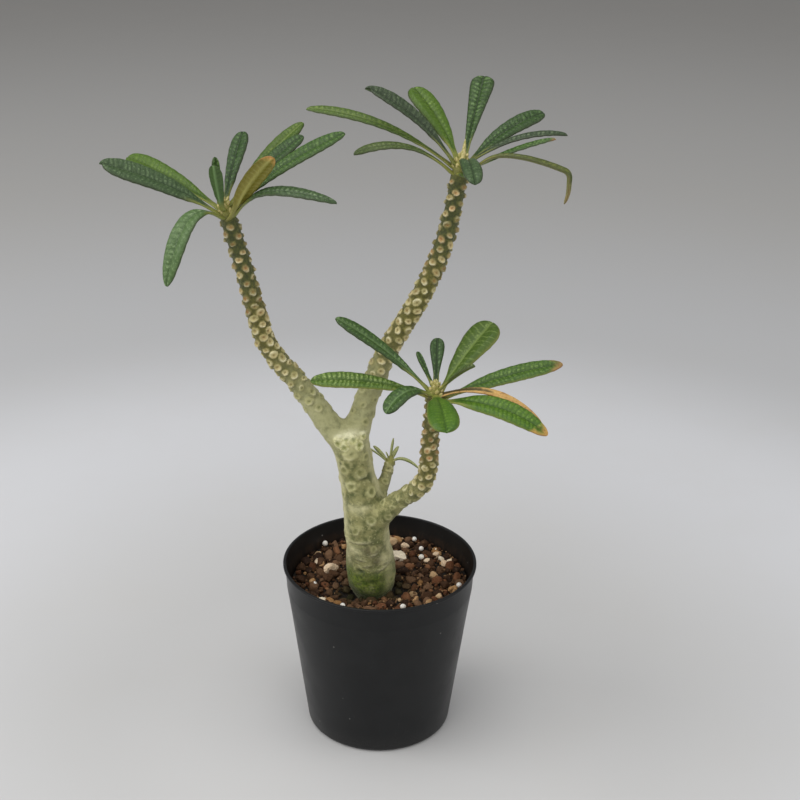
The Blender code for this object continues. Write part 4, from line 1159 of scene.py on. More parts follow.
def leaf_layers(leaf, shares, v, half, blade, inked, ridge, pillow, uneven, tone):
    """Colour layers of a leaf as pairs: on the upper face, and on the lower one if it differs."""
    out = np.abs(v)
    distance = out * half
    strength = QUILTS.get(leaf.name, QUILT)
    vein = inked * (1 - smooth(ridge, 0.05, 0.38 if leaf.look == "veined" else 0.50))
    glint = (np.exp(-((distance - 0.90) / 0.36) ** 2) * smooth(ridge, 0.45, 0.9)
             * smooth(uneven, -0.3, 0.1))
    if leaf.name in LADDERED:
        rungs = smooth(ridge, 0.72, 0.97) * smooth(1 - out, 0.12, 0.5)
        glint = np.maximum(glint, 0.75 * rungs * smooth(uneven, -0.30, 0.15))
    way = (shares - PETIOLE_SHARE) / (1 - PETIOLE_SHARE)
    dry = 0.0
    if leaf.dry:
        edge = leaf.dry * (1 + 1.1 * out ** 3)
        soft = min(0.10, 0.02 + 0.7 * leaf.dry)
        dry = smooth(way + 0.8 * soft * uneven, 1 - edge - soft, 1 - edge + soft)
    pale = 1 - smooth(shares, 0.5 * PETIOLE_SHARE, 1.9 * PETIOLE_SHARE)
    green = smooth(shares, 0.35 * PETIOLE_SHARE, 1.1 * PETIOLE_SHARE)
    edge_pale = smooth(out, 0.55, 0.85) * (1 - smooth(shares, 0.16, 0.34))
    rib = np.exp(-(distance / RIB_REACH) ** 2)
    return {
        "vein": (vein * min(1.0, strength + 0.1),),
        "lit": (inked * smooth(pillow, 0.25, 0.95),),
        "glint": (glint * inked * min(1.0, strength + 0.30),),
        "rib": (rib * smooth(shares, 0.05, 0.2) * min(1.0, strength + 0.35),),
        "margin": (smooth(out, 0.88, 1.0) * blade,),
        "dry": (dry,),
        "under": (0.0, 1.0),
        "stalk": (np.maximum(1 - green, edge_pale), pale),
        "tone": (tone,),
    }


def leaf_arrays(base, leaf, crown, draw, veins, root=None, thick=BLADE, columns=LEAF_COLUMNS):
    """Points, ring count, ring size and attributes of one leaf, as a closed tube of flat rings."""
    # Columns of values run along the leaf, and rows of values run across it
    shares = leaf_shares(veins)
    centres, ahead, across, face = arch(base, leaf, crown, shares)
    arc, shares = lengths_along(centres)[:, None], shares[:, None]
    gap = (arc[-1, 0] * (1 - PETIOLE_SHARE)) / veins
    v = np.linspace(-1.0, 1.0, columns)[None, :]
    v = np.sign(v) * np.abs(v) ** 0.9
    out, front = np.abs(v), v < 0
    size = min(1.0, leaf.width / FULL_SIZE_WIDTH)

    widest = max(blade_width(k / 50, leaf) for k in range(1, 50))
    stalk_half = (min(STALK_HALF, leaf.width * 0.3) + SHEATH_HALF * size * smooth(shares, 0.11, 0.0)
                  + 0.35 * size * smooth(shares, 0.03, 0.16))
    stalk_thick = min(PETIOLE_THICK, leaf.width * 0.4) * (1 + 0.25 * smooth(shares, 0.08, 0.0))
    wing = leaf.width / 2 * blade_width(shares, leaf) / widest * (0.6 + 0.4 * smooth(shares, 0.08, 0.32))
    half = ((stalk_half * (1 - shares)) ** 4 + wing ** 4) ** 0.25
    blade = smooth(shares, 0.6 * PETIOLE_SHARE, 2.2 * PETIOLE_SHARE)
    distance = out * half

    shift, jitter, uneven, ridge, pillow = quilting(leaf, arc, half, v, gap, draw)
    inner = smooth(distance, 0.10, 0.80)
    present = blade * smooth(half, 0.4, 1.6)
    cover = inner * smooth(1 - out, 0.06, 0.45) * present
    plain_edge = (0.15, 0.75) if leaf.name in SOFT_EDGED else (0.03, 0.18)
    inked = inner * smooth(1 - out, *plain_edge) * present
    bulge = (0.16 + 0.036 * half) * size * QUILTS.get(leaf.name, QUILT)
    quilt = bulge * cover * (pillow - 0.35)

    wave = 2 * math.pi * (arc / (2.4 * gap) + shift) + np.where(front, 2.1, 0.0)
    ripple = 0.09 * size * np.sin(wave + 2 * jitter) * out ** 3 * blade
    scallop = 1 + 0.005 * blade * np.cos(2 * math.pi * (arc - VEIN_SLANT * half) / gap)
    fold = np.radians(leaf.fold) * np.minimum(1.0, shares / TURN_IN)
    reach_out = half * scallop * np.cos(fold) * v
    if leaf.name in NOTCHED:
        early = blade_width(np.minimum(shares / NOTCHED[leaf.name], LAST_SHARE), leaf)
        lobe = np.minimum(early / np.maximum(blade_width(shares, leaf), 1e-6), 1.0)
        reach_out = reach_out * (1 - front * smooth(shares, 0.6, 0.8) * (1 - lobe))
    dome = 0.11 * half * (1 - (2 * out - 1) ** 2) * blade
    curl = 0.14 * half * smooth(out, 0.72, 1.0) * blade
    bend = half * np.sin(fold) * np.sqrt(v ** 2 + 0.004) + ripple + dome - curl

    groove = 0.34 * np.exp(-(distance / RIB_REACH) ** 2) * blade * size
    keel = 0.62 * np.exp(-(distance / 0.75) ** 2) * (1 - 0.75 * shares) * blade * size
    flat_half = thick / 2 * (1 - (1 - MARGIN) * out ** 5)
    round_half = stalk_thick / 2 * np.sqrt(np.maximum(1 - v ** 2, 0.02))
    body = flat_half * blade + round_half * (1 - blade)
    body = body * (smooth(shares, 1.0, 0.97) * 0.5 + 0.5)
    upper = bend + body + quilt - groove
    lower = np.minimum(bend - body + 0.85 * quilt - keel, upper - LEAST_BLADE)

    middle = centres[:, None] + across[:, None] * reach_out[:, :, None]
    top = middle + face[:, None] * upper[:, :, None]
    bottom = middle + face[:, None] * lower[:, :, None]
    rings = np.concatenate([top, bottom[:, ::-2]], axis=1)
    pulls = () if root is None else ROOT_PULLS
    roots = [rings[:1] - ahead[0] * back - root * down for back, down in pulls]
    rings = np.concatenate([*roots, rings], axis=0)

    def both(above, below=None):
        grid, under = (np.broadcast_to(values, upper.shape)
                       for values in (above, above if below is None else below))
        grid = np.concatenate([grid, under[:, ::-2]], axis=1)
        return np.concatenate([np.repeat(grid[:1], len(pulls), axis=0), grid], axis=0).reshape(-1)

    layers = leaf_layers(leaf, shares, v, half, blade, inked, ridge, pillow, uneven,
                         draw.uniform(0.0, 1.0))
    layers = {label: both(*faces) for label, faces in layers.items()}
    return rings.reshape(-1, 3), rings.shape[0], rings.shape[1], layers


def leaf_material(name, look):
    graph = Graph(f"leaf_{name}", 0.40, Specular_IOR_Level=0.36)
    span, mark = graph.span, graph.attribute
    vein, lit, rib, margin, dry = (mark(label) for label in ("vein", "lit", "rib", "margin", "dry"))
    broad = graph.noise(7.0, 3.0)
    fine = graph.noise(0.9, 4.0, 0.6)
    grain = graph.cells(0.55)
    deep, lit_green = scaled(0.98, look.deep), scaled(0.93, look.lit)
    dark = scaled(0.5, deep)
    pearl = tuple(0.5 * a + 0.5 * b for a, b in zip(look.vein, lit_green))
    # Pale specks on the lit pillow tops: painted glints
    specks_and_glints = span(graph.noise(0.75, 2.0, 0.5), 0.53, 0.63, 0.0, 0.3 if name == "veined" else 1.0)
    # Pale side veins on some looks; on the others painted shade in the creases between the pillows
    crease = look.vein if name in PALE_CREASED else dark
    golden = scaled(0.9, look.petiole)
    blade = graph.layered(
        deep,
        (lit_green, lit, span(fine, 0.25, 0.75, 0.22, 0.80)),
        (lit_green, span(broad, 0.35, 0.75, 0.0, 0.35)),
        (dark, mark("tone"), 0.20),
        (pearl, specks_and_glints, span(lit, 0.0, 1.0, 0.20, 0.72)),
        (crease, vein, VEIN_INK.get(name, 0.34)),
        # A pale midrib on some looks; on the others painted shade in the midrib's groove
        (look.vein if name in PALE_RIBBED else dark, rib, RIB_INK.get(name, 0.60)),
        (scaled(1.15, look.vein), mark("glint"), span(fine, 0.42, 0.58, 0.10, 0.90)),
        # A golden edge on some looks; painted shade along the edge on the others
        (golden if name in GOLDEN_EDGED else EDGE_SHADE, margin, 0.75))
    below = graph.layered(
        look.under,
        (lit_green, span(fine, 0.3, 0.7, 0.0, 0.5)),
        (crease, vein, 0.55),
        (scaled(1.3, look.vein), rib, 0.9))
    dried = DRY_COLOURS.get(name, DRY_ORANGE)
    olive = name == "olive"
    dried = graph.layered(
        dried,
        (scaled(0.75, dried), span(broad, 0.35, 0.65)),
        (DRY_BROWN, span(graph.noise(2.2, 4.0, 0.6), 0.56, 0.66), 0.25 if olive else 0.6),
        (OLIVE_RIM if olive else DRY_BROWN, margin, 0.6),
        (DRY_BROWN, span(dry, 0.92, 1.0, 0.0, 0.25)))
    graph.colour(graph.layered(blade, (below, mark("under")), (look.petiole, mark("stalk")),
                               (dried, dry)))
    graph.roughness(span(fine, 0.25, 0.75, 0.30, 0.50))
    graph.bump((grain, 0.10), (fine, 0.10))
    return graph.material


def make_leaves():
    draw = random.Random(SEED + 1)
    materials = {name: leaf_material(name, look) for name, look in LEAF_LOOKS.items()}
    for side, branch in BRANCHES.items():
        crown = crown_middle(branch)
        for k, row in enumerate(LEAF_ROWS[side]):
            leaf = Leaf(f"leaf_{side}_{k + 1:02}", *row)
            base, out = leaf_base(branch, leaf)
            length = (crown + Vector(leaf.tip) - base).length
            spacing = VEIN_SPACINGS.get(leaf.name, VEIN_SPACING)
            veins = max(8, min(25, round(length * (1 - PETIOLE_SHARE) / spacing)))
            points, rows, ring, layers = leaf_arrays(base, leaf, crown, draw, veins, np.array(out))
            slot = "leaf_young" if leaf.name in YOUNG_LEAVES else "leaf_dark"
            slot = "leaf_old" if leaf.name in OLD_LEAVES else slot
            mesh_piece(f"{leaf.name}_blade", points, tube_faces(rows, ring), materials[leaf.look],
                       slot, layers, [leaf.name])
    return materials


def make_side_shoot(bark, material):
    """The new growth on the stub: its short scarred stem, and its narrow leaves in one piece."""
    draw = random.Random(SEED + 2)
    path = even_path(SHOOT_STEM, SHOOT_STEP)
    points = tube_points(path, SHOOT_SIDES)
    outward = points - np.repeat(path[:, :3], SHOOT_SIDES, axis=0)
    normals = outward / np.linalg.norm(outward, axis=1, keepdims=True)
    scars = [Scar(spot, ring, height, False, 0.0, 0.0)
             for spot, ring, height, _ in scar_list(path, SPRIG_SCARS, draw, 0.05, 0.8)]
    knob = path[int(KNOB_SHARE * len(path))]
    knob_spot = knob[:3] + np.array([0.1, -1.0, 0.2]) * knob[3]
    scars.append(Scar(knob_spot, 2.0, 0.95, False, 0.0, 0.0))
    lift, layers = press_scars(points, normals, scars, draw)
    layers.update({label: np.zeros(len(points)) for label in (*MARK_KINDS, "moss", "damp", "worn")})
    layers["age"] = np.full(len(points), 0.85)
    layers["pale"] = np.full(len(points), 0.5)
    layers["cream"] = 0.9 * np.exp(-(np.linalg.norm(points - knob_spot, axis=1) / 1.7) ** 2)
    layers["ochre"] = np.ones(len(points))
    layers["young"] = smooth(points[:, 2], 130.5, 133.5)
    mesh_piece("side_shoot_stem", points + normals * lift[:, None],
               tube_faces(len(path), SHOOT_SIDES), bark, "young_shoot", layers, ["side_shoot"])

    root, crown = Vector(SHOOT_STEM[1][:3]), Vector(SHOOT_STEM[2][:3])
    parts, owns = [], []
    for k, (tip, knee, width) in enumerate(SHOOT_LEAVES):
        leaf = Leaf(f"sprig_{k + 1}", tip, knee, 1.0, width, 0, 12, 3, 0.7, None, "sprig", 0)
        sprig, rows, ring, own = leaf_arrays(root, leaf, crown, draw, 6, None, 0.6, 11)
        parts.append((sprig, tube_faces(rows, ring)))
        owns.append(own)
    layers = {label: np.concatenate([own[label] for own in owns]) for label in owns[0]}
    mesh_piece("side_shoot_leaves", *join_parts(parts), material, "young_shoot", layers)


# Crowns

def make_crowns(material):
    """Pale pointed scales between the petioles, round each growing tip."""
    draw = random.Random(SEED + 3)
    for name, branch in BRANCHES.items():
        axis, middle = crown_axis(branch), crown_middle(branch)
        side = axis.cross(Vector((0.0, 1.0, 0.0))).normalized()
        parts = []
        for k in range(CROWN_SCALES):
            height = SCALE_LOWEST + SCALE_CLIMB * k
            out = Matrix.Rotation(k * GOLDEN_ANGLE, 3, axis) @ side
            foot = middle + axis * height + out * (crown_radius(branch, height) - SCALE_SINK)
            length = draw.uniform(1.9, 3.4)
            lean = (out * draw.uniform(0.35, 0.9) + axis).normalized()
            path = [(*(foot + lean * length * t), 0.74 * (1 - t) ** 0.6 * (1 + t) + SCALE_TIP)
                    for t in (0.0, 0.35, 0.7, 1.0)]
            scale = even_path(path, 0.35)
            scale[:, 3] = np.maximum(scale[:, 3], SCALE_TIP)
            parts.append((tube_points(scale, SCALE_SIDES), tube_faces(len(scale), SCALE_SIDES)))
        if name == "right":
            foot = middle + Vector((0.4, -2.6, 1.0))
            tip = foot + Vector((0.9, 1.5, 9.6))
            spike = even_path([(*foot.lerp(tip, way), radius) for way, radius in SPIKE], 0.5)
            parts.append((tube_points(spike, SPIKE_SIDES), tube_faces(len(spike), SPIKE_SIDES)))
        mesh_piece(f"crown_{name}_scales", *join_parts(parts), material, "young_shoot")


def scale_material():
    graph = Graph("crown_scales", 0.5)
    fine = graph.noise(1.1, 4.0)
    colour = graph.mix(graph.span(fine, 0.35, 0.65), (0.330, 0.315, 0.085), (0.620, 0.520, 0.240))
    graph.colour(colour)
    graph.bump((fine, 0.12))
    return graph.material


# Soil

def soil_height(x, y):
    """Height of the soil: a little higher at the back, with a hollow round the trunk."""
    from_trunk = np.hypot(x - TRUNK[0][0], y - TRUNK[0][1])
    hollow = TRUNK_HOLLOW * np.exp(-(from_trunk / HOLLOW_REACH) ** 2)
    return SOIL_TOP + SOIL_TILT * y / RIM_RADIUS - hollow - POCKET_DEPTH * pocket_share(x, y)


def pocket_share(x, y):
    """How far a spot lies in one of the dark pockets."""
    return sum(np.exp(-(((x - a) ** 2 + (y - b) ** 2) / reach ** 2)) for a, b, reach in POCKETS)


def wall_radius(height):
    """Outer radius of the pot's wall under the lip."""
    band_foot = POT_HEIGHT - BAND_HEIGHT
    if height >= band_foot:
        share = (height - band_foot) / BAND_HEIGHT
        return BAND_FOOT_RADIUS + share * (RIM_RADIUS - LIP_STAND - BAND_FOOT_RADIUS)
    return FOOT_RADIUS + height / band_foot * (BAND_FOOT_RADIUS - BAND_STEP - FOOT_RADIUS)


def grain_shape(sphere, draw, size, flat):
    """A broken stone: a sphere cut back by random planes, its edges a little worn."""
    planes = sphere_points(GRAIN_FACETS, draw)
    depth = np.array([draw.uniform(0.62, 1.0) for _ in planes])
    facing = np.maximum(sphere @ planes.T, 0.0) / depth
    reach = ((facing ** WEAR).sum(axis=1) + 0.28 ** WEAR) ** (-1 / WEAR)
    reach = np.minimum(reach, 1.15)
    shape = sphere * reach[:, None]
    lengths = np.array([1.0, draw.uniform(0.62, 0.95), draw.uniform(flat, 0.85)])
    turn = (Matrix.Rotation(draw.uniform(0, TURN), 3, "Z")
            @ Matrix.Rotation(draw.uniform(-0.6, 0.6), 3, "X")
            @ Matrix.Rotation(draw.uniform(-0.6, 0.6), 3, "Y"))
    return (shape * lengths * size) @ np.array(turn).T


def sphere_points(count, draw):
    """Directions spread over a sphere, each shaken a little."""
    found = []
    for k in range(count):
        z = 1 - 2 * (k + 0.5) / count
        turn = k * GOLDEN_ANGLE
        width = math.sqrt(1 - z * z)
        spot = np.array([width * math.cos(turn), width * math.sin(turn), z])
        spot += np.array([draw.uniform(-0.35, 0.35) for _ in range(3)])
        found.append(spot / np.linalg.norm(spot))
    turn = np.array(Matrix.Rotation(draw.uniform(0, TURN), 3, "Z")
                    @ Matrix.Rotation(draw.uniform(0, 3.14), 3, "X"))
    return np.array(found) @ turn.T


def round_mesh(folds):
    """Points and faces of a sphere of radius 1."""
    shape = bmesh.new()
    bmesh.ops.create_icosphere(shape, subdivisions=folds, radius=1.0)
    points = np.array([tuple(v.co) for v in shape.verts])
    faces = [tuple(v.index for v in face.verts) for face in shape.faces]
    shape.free()
    return points, faces


def scatter(draw):
    """Places and sizes of the grains: a close layer on top, a looser one in its gaps, crumbs."""
    placed = []
    for layer, (tries, drop, nest, least, spread) in enumerate(GRAIN_LAYERS):
        own = []
        sizes = sorted((draw.uniform(0.0, 1.0) ** 1.9 for _ in range(tries)), reverse=True)
        for share in sizes:
            size = least + spread * share
            turn, reach = draw.uniform(0, 6.2832), SOIL_EDGE * math.sqrt(draw.random())
            x, y = reach * math.cos(turn), reach * math.sin(turn)
            from_trunk = math.hypot(x - TRUNK[1][0], y - TRUNK[1][1])
            if from_trunk < HOLLOW_EDGE + 0.5 * size or reach > SOIL_EDGE - 0.75 * size:
                continue
            # No top grains in the pockets, so the black bed shows there as painted shade
            if layer != DEEP_LAYER and pocket_share(x, y) > 0.50:
                continue
            if any((x - a) ** 2 + (y - b) ** 2 < (nest * (size + c)) ** 2 for a, b, c in own):
                continue
            own.append((x, y, size))
            lift = draw.uniform(-0.8, 0.9) - drop - 0.25 * size
            placed.append((x, y, float(soil_height(x, y)) + lift, size, layer, from_trunk))
    return placed


def clay_material(name, dark, middle, light):
    """Fired clay or pumice: colour from one grain to the next and fine pits."""
    graph = Graph(name, 0.9, Specular_IOR_Level=0.18)
    span, pick = graph.span, graph.attribute("pick")
    fine = graph.noise(0.7, 5.0, 0.65)
    graph.colour(graph.layered(
        dark,
        (middle, span(pick, 0.0, 0.55)),
        (light, span(pick, 0.5, 1.0)),
        (scaled(0.5, middle), span(fine, 0.50, 0.30, 0.0, 0.5)),
        (light, span(graph.noise(2.4, 3.0), 0.5, 0.75, 0.0, 0.45)),
        # Painted shade on grains near the trunk's foot and in the pockets
        ((0.024, 0.030, 0.010), graph.attribute("wet"), 0.8)))
    graph.roughness(span(fine, 0.3, 0.7, 0.60, 0.95))
    graph.bump((fine, 0.45), (graph.cells(0.5), 0.20))
    return graph.material


def grain_piece(name, grains, material, draw, folds, flat=0.55, rough=0.07):
    """Separate broken stones in one piece, each with its own tint and its share of painted shade near
    the trunk's foot.
    """
    sphere, corners = round_mesh(folds)
    parts, pick, wet = [], [], []
    for x, y, z, size, tint, damp in grains:
        shape = grain_shape(sphere, draw, size, flat)
        shift = draw.uniform(0, 100)
        dents = np.array([noise.noise(Vector(p / 0.9) + Vector((shift, 0, 0))) for p in shape])
        parts.append((shape * (1 + rough * dents)[:, None] + np.array([x, y, z]), corners))
        pick.append(np.full(len(sphere), tint))
        wet.append(np.full(len(sphere), damp))
    mesh_piece(name, *join_parts(parts), material, "soil_grains",
               {"pick": np.concatenate(pick), "wet": np.concatenate(wet)})


def make_bed():
    """The dark bed under the loose grains, which fills the pot."""
    rings = int(SOIL_EDGE / BED_RING)
    draw = random.Random(SEED + 4)
    points = [(0.0, 0.0, float(soil_height(0.0, 0.0)) - BED_DROP)]
    for ring in range(1, rings + 1):
        for x, y in ring_places(SOIL_EDGE * ring / rings, BED_COLUMNS):
            rough = 1.1 * noise.noise(Vector((x, y, 0.0)) / 2.2) + draw.uniform(-0.12, 0.12)
            points.append((x, y, float(soil_height(x, y)) - BED_DROP + rough))
    floor = GROOVE_DEPTH + WALL + GAP
    levels = np.linspace(SOIL_TOP - 4.0, floor, BED_LEVELS)
    for height in levels:
        reach = min(SOIL_EDGE, wall_radius(height) - WALL - GAP)
        if height == floor:
            reach = FOOT_RADIUS - FOOT_FILLET - BED_FOOT_INSET
        points += [(x, y, height) for x, y in ring_places(reach, BED_COLUMNS)]
    last = rings + len(levels) - 1
    faces = [(0, 1 + k, 1 + (k + 1) % BED_COLUMNS) for k in range(BED_COLUMNS)]
    for level in range(last):
        for k in range(BED_COLUMNS):
            a, b = (1 + level * BED_COLUMNS + j for j in (k, (k + 1) % BED_COLUMNS))
            faces.append((a, a + BED_COLUMNS, b + BED_COLUMNS, b))
    faces.append(tuple(1 + last * BED_COLUMNS + k for k in reversed(range(BED_COLUMNS))))
    graph = Graph("soil_bed", 0.95)
    fine = graph.noise(0.8, 5.0, 0.65)
    crumbs = graph.cells(1.5)
    graph.colour(graph.layered(
        BED_BLACK,
        ((0.030, 0.018, 0.010), graph.span(fine, 0.35, 0.65)),
        (BED_BLACK, graph.span(crumbs, 0.25, 0.6, 0.0, 0.7))))
    graph.bump((crumbs, 0.6), (fine, 0.3))
    mesh_piece("soil_bed", points, faces, graph.material, "soil_grains", replaces=["soil"])


# Grains that stand out, as x, y, size and height over the soil
PUMICE_CHIPS = [(-23.6, 8.6, 3.6, 0.6), (8.4, 20.5, 4.4, 0.6), (11.6, 28.6, 2.3, 1.0),
                (30.6, 13.6, 1.8, 0.6), (26.2, 21.5, 1.9, 0.5), (-24.8, -19.0, 2.6, 0.2),
                (22.3, 16.6, 1.6, 0.4), (-29.5, 14.0, 1.6, 0.6), (33.0, 16.0, 1.6, 0.4),
                (29.0, 18.5, 1.5, 0.3), (26.0, 26.5, 1.7, 0.5)]
BEADS = [(-30.2, -6.0), (16.3, 35.1), (19.6, 26.3), (19.6, 18.6), (11.0, -24.3), (-16.5, -24.0),
         (-27.0, 30.0), (-14.0, 35.0), (3.0, 38.5), (37.0, -6.0)]
TAN_CHIPS = [(5.2, 33.0, 2.8, 0.9), (-22.5, -20.5, 2.4, 0.3), (-19.0, -21.5, 2.0, 0.4),
             (18.9, -2.5, 1.9, 0.5), (26.4, 26.0, 1.9, 0.5), (-31.5, -3.0, 1.7, 0.4),
             (27.5, -14.5, 1.8, 0.3), (23.0, -19.5, 2.0, 0.3), (17.0, -25.0, 1.8, 0.2),
             (33.0, -8.5, 1.6, 0.3), (-28.0, 12.5, 1.8, 0.5), (10.5, -30.0, 1.9, 0.2)]
BEAD_RADIUS = 1.25
BEAD_LIFT = 1.1


def chosen_grains(spots, draw):
    """Grains at given spots, as place, size, tint and painted foot shade."""
    return [(x, y, float(soil_height(x, y)) + lift, size, draw.random(), 0.0)
            for x, y, size, lift in spots]


def make_soil():
    draw = random.Random(SEED + 5)
    make_bed()
    lots = {kind: [] for kind in LOTS}
    for x, y, z, size, layer, from_trunk in scatter(draw):
        # Painted shade on the grains near the trunk's foot and in the pockets
        damp = min(1.0, 0.35 * float(smooth(from_trunk, 17.0, 11.0)) + 1.1 * float(pocket_share(x, y)))
        lot, tint = draw.random(), draw.random()
        if layer == CRUMB_LAYER:
            kind = "crumbs"
        elif layer == DEEP_LAYER:
            kind = "grains_deep"
        elif lot < 0.68 - 0.12 * x / RIM_RADIUS:
            kind = "grains_brown"
        elif lot < 0.88 - 0.05 * x / RIM_RADIUS:
            kind = "grains_rust"
        else:
            kind = "grains_tan"
            size *= TAN_SIZE
        lots[kind].append((x, y, z, size, tint, damp))
    lots["grains_tan"] += chosen_grains(TAN_CHIPS, draw)
    clays = {name: clay_material(name, *colours) for name, colours in CLAYS.items()}
    for kind, (clay, folds) in LOTS.items():
        grain_piece(f"soil_{kind}", lots[kind], clays[clay], draw, folds)
    grain_piece("soil_pumice", chosen_grains(PUMICE_CHIPS, draw), clays["pumice"], draw,
                folds=5, flat=0.45, rough=0.14)

    graph = Graph("feed_beads", 0.45)
    graph.colour(graph.mix(graph.span(graph.noise(1.2, 4.0), 0.4, 0.7), (0.860, 0.850, 0.820),
                           (0.700, 0.640, 0.540)))
    graph.bump((graph.noise(0.5, 3.0), 0.06))
    sphere, corners = round_mesh(4)
    parts = []
    for x, y in BEADS:
        radius = BEAD_RADIUS * draw.uniform(0.85, 1.1)
        place = np.array([x, y, float(soil_height(x, y)) + BEAD_LIFT])
        parts.append((sphere * radius + place, corners))
    mesh_piece("soil_feed_beads", *join_parts(parts), graph.material, "soil_grains")


# Pot

def arc_corner(before, corner, after, radius, steps):
    """The corner of an outline, eased by an arc."""
    a, b, c = (np.array(p, float) for p in (before, corner, after))
    into, out = (b - a) / np.linalg.norm(b - a), (c - b) / np.linalg.norm(c - b)
    half = math.acos(max(-1.0, min(1.0, float(into @ out)))) / 2
    if half < 0.02:
        return [tuple(b)]
    back = min(radius * math.tan(half), 0.45 * np.linalg.norm(b - a), 0.45 * np.linalg.norm(c - b))
    start, end = b - into * back, b + out * back
    found = []
    for k in range(steps + 1):
        t = k / steps
        found.append(tuple((1 - t) ** 2 * start + 2 * t * (1 - t) * b + t ** 2 * end))
    return found


def pot_outline():
    """Outline of the pot's wall with eased corners: down the outside and up the inside."""
    band_foot = POT_HEIGHT - BAND_HEIGHT
    lip_foot = POT_HEIGHT - LIP_HEIGHT
    floor = GROOVE_DEPTH + WALL
    foot_edge = FOOT_RADIUS - FOOT_FILLET
    inner_rim = RIM_RADIUS - LIP_STAND - 0.45 * WALL
    corners = [
        (RIM_RADIUS, POT_HEIGHT, 0.55),
        (RIM_RADIUS, lip_foot, 0.35),
        (wall_radius(lip_foot - 0.4), lip_foot - 0.4, 0.3),
        (wall_radius(band_foot + 5.0), band_foot + 5.0, 14.0),
        (wall_radius(band_foot - 7.0), band_foot - 7.0, 14.0),
        (wall_radius(0.0) - 0.1, 0.0, 3.4),
        (GROOVE_OUTER, 0.0, 0.3),
        (GROOVE_OUTER - 0.5, GROOVE_DEPTH, 0.3),
        (GROOVE_INNER + 0.5, GROOVE_DEPTH, 0.3),
        (GROOVE_INNER, 0.0, 0.3),
        (0.0, 0.0, 0.0),
        (0.0, WALL, 0.0),
        (GROOVE_INNER - WALL, WALL, 0.3),
        (GROOVE_INNER, floor, 0.3),
        (foot_edge - WALL, floor, 1.0),
        (wall_radius(floor + 2.0) - WALL, floor + 2.0, 1.0),
        (wall_radius(band_foot - WALL) - WALL, band_foot - WALL, 0.4),
        (wall_radius(band_foot + 0.5) - WALL, band_foot + 0.5, 0.4),
        (inner_rim, POT_HEIGHT, 0.45),
    ]
    outline = []
    for k, (x, z, ease) in enumerate(corners):
        before, after = corners[k - 1][:2], corners[(k + 1) % len(corners)][:2]
        if x == 0.0:
            outline.append((x, z))
        else:
            outline += arc_corner(before, (x, z), after, ease, 8 if ease > 2 else 4)
    return outline


def pot_material():
    graph = Graph("pot_plastic", 0.38, Specular_IOR_Level=0.24)
    span, (x, y, height) = graph.span, graph.coordinates()
    fine = graph.noise(0.35, 3.0)
    broad = graph.noise(14.0, 3.0)
    scuff = graph.noise(3.0, 6.0, 0.75, graph.stretched(0.25))
    # Dust specks on the pot
    specks_and_glints = (span(graph.cells(5.5), 0.085, 0.04), span(graph.noise(7.0, 2.0), 0.56, 0.62))
    away = graph.math("SQRT", graph.math("ADD", graph.math("POWER", x, 2.0),
                                         graph.math("POWER", y, 2.0)))
    wall = graph.math("SUBTRACT", away, graph.times(height, WALL_LEAN))
    inside = graph.times(span(wall, 0.03825, 0.03795), span(height, 0.066, 0.070))
    graph.colour(graph.layered(
        (0.0066, 0.0071, 0.0077),
        ((0.0091, 0.0097, 0.0104), span(broad, 0.35, 0.7)),
        ((0.050, 0.050, 0.050), span(scuff, 0.60, 0.74, 0.0, 0.22)),
        ((0.0125, 0.0115, 0.0110), inside, span(broad, 0.3, 0.7, 0.5, 1.0)),
        ((0.034, 0.022, 0.015), inside, span(height, 0.079, 0.075), span(scuff, 0.40, 0.60, 0.2, 0.9)),
        ((0.075, 0.073, 0.070), span(height, 0.012, 0.0, 0.0, 0.35), span(fine, 0.35, 0.7)),
        ((0.330, 0.320, 0.300), *specks_and_glints, 0.6)))
    graph.roughness(span(broad, 0.3, 0.7, 0.33, 0.42))
    graph.bump((fine, 0.012), (scuff, 0.02))
    return graph.material


def make_pot():
    """The pot: its outline turned round the axis, with the drainage holes cut out of its floor."""
    points, rows = [], []
    for radius, height in pot_outline():
        if radius == 0.0:
            rows.append([len(points)] * POT_STEPS)
            points.append((0.0, 0.0, height))
        else:
            rows.append([len(points) + k for k in range(POT_STEPS)])
            points += [(x, y, height) for x, y in ring_places(radius, POT_STEPS)]
    faces = []
    for upper, lower in zip(rows, rows[1:] + rows[:1]):
        if upper[0] == upper[1] and lower[0] == lower[1]:
            continue
        for k in range(POT_STEPS):
            following = (k + 1) % POT_STEPS
            corners = (upper[k], lower[k], lower[following], upper[following])
            faces.append(tuple(dict.fromkeys(corners)))
    pot = mesh_piece("pot_shell", points, faces, pot_material(), "pot_plastic", replaces=["pot"])
    drains = bpy.data.collections.new("drains")
    bpy.context.scene.collection.children.link(drains)
    for x, y in ring_places((GROOVE_INNER + GROOVE_OUTER) / 2, DRAIN_HOLES):
        shape = bmesh.new()
        bmesh.ops.create_cone(shape, cap_ends=True, segments=40, radius1=DRAIN_RADIUS * MM,
                              radius2=DRAIN_RADIUS * MM, depth=6 * WALL * MM)
        mesh = bpy.data.meshes.new("drain")
        shape.to_mesh(mesh)
        shape.free()
        drill = bpy.data.objects.new("drain", mesh)
        drill.location = Vector((x, y, GROOVE_DEPTH)) * MM
        drains.objects.link(drill)
    cut = pot.modifiers.new("Drains", "BOOLEAN")
    cut.operand_type = "COLLECTION"
    cut.collection = drains
    drilled = evaluated_mesh(pot)
    pot.modifiers.clear()
    pot.data = drilled
    pot.data.set_sharp_from_angle(angle=math.radians(50))
    for drill in list(drains.objects):
        bpy.data.objects.remove(drill)
    bpy.data.collections.remove(drains)


# Stage, lights and camera

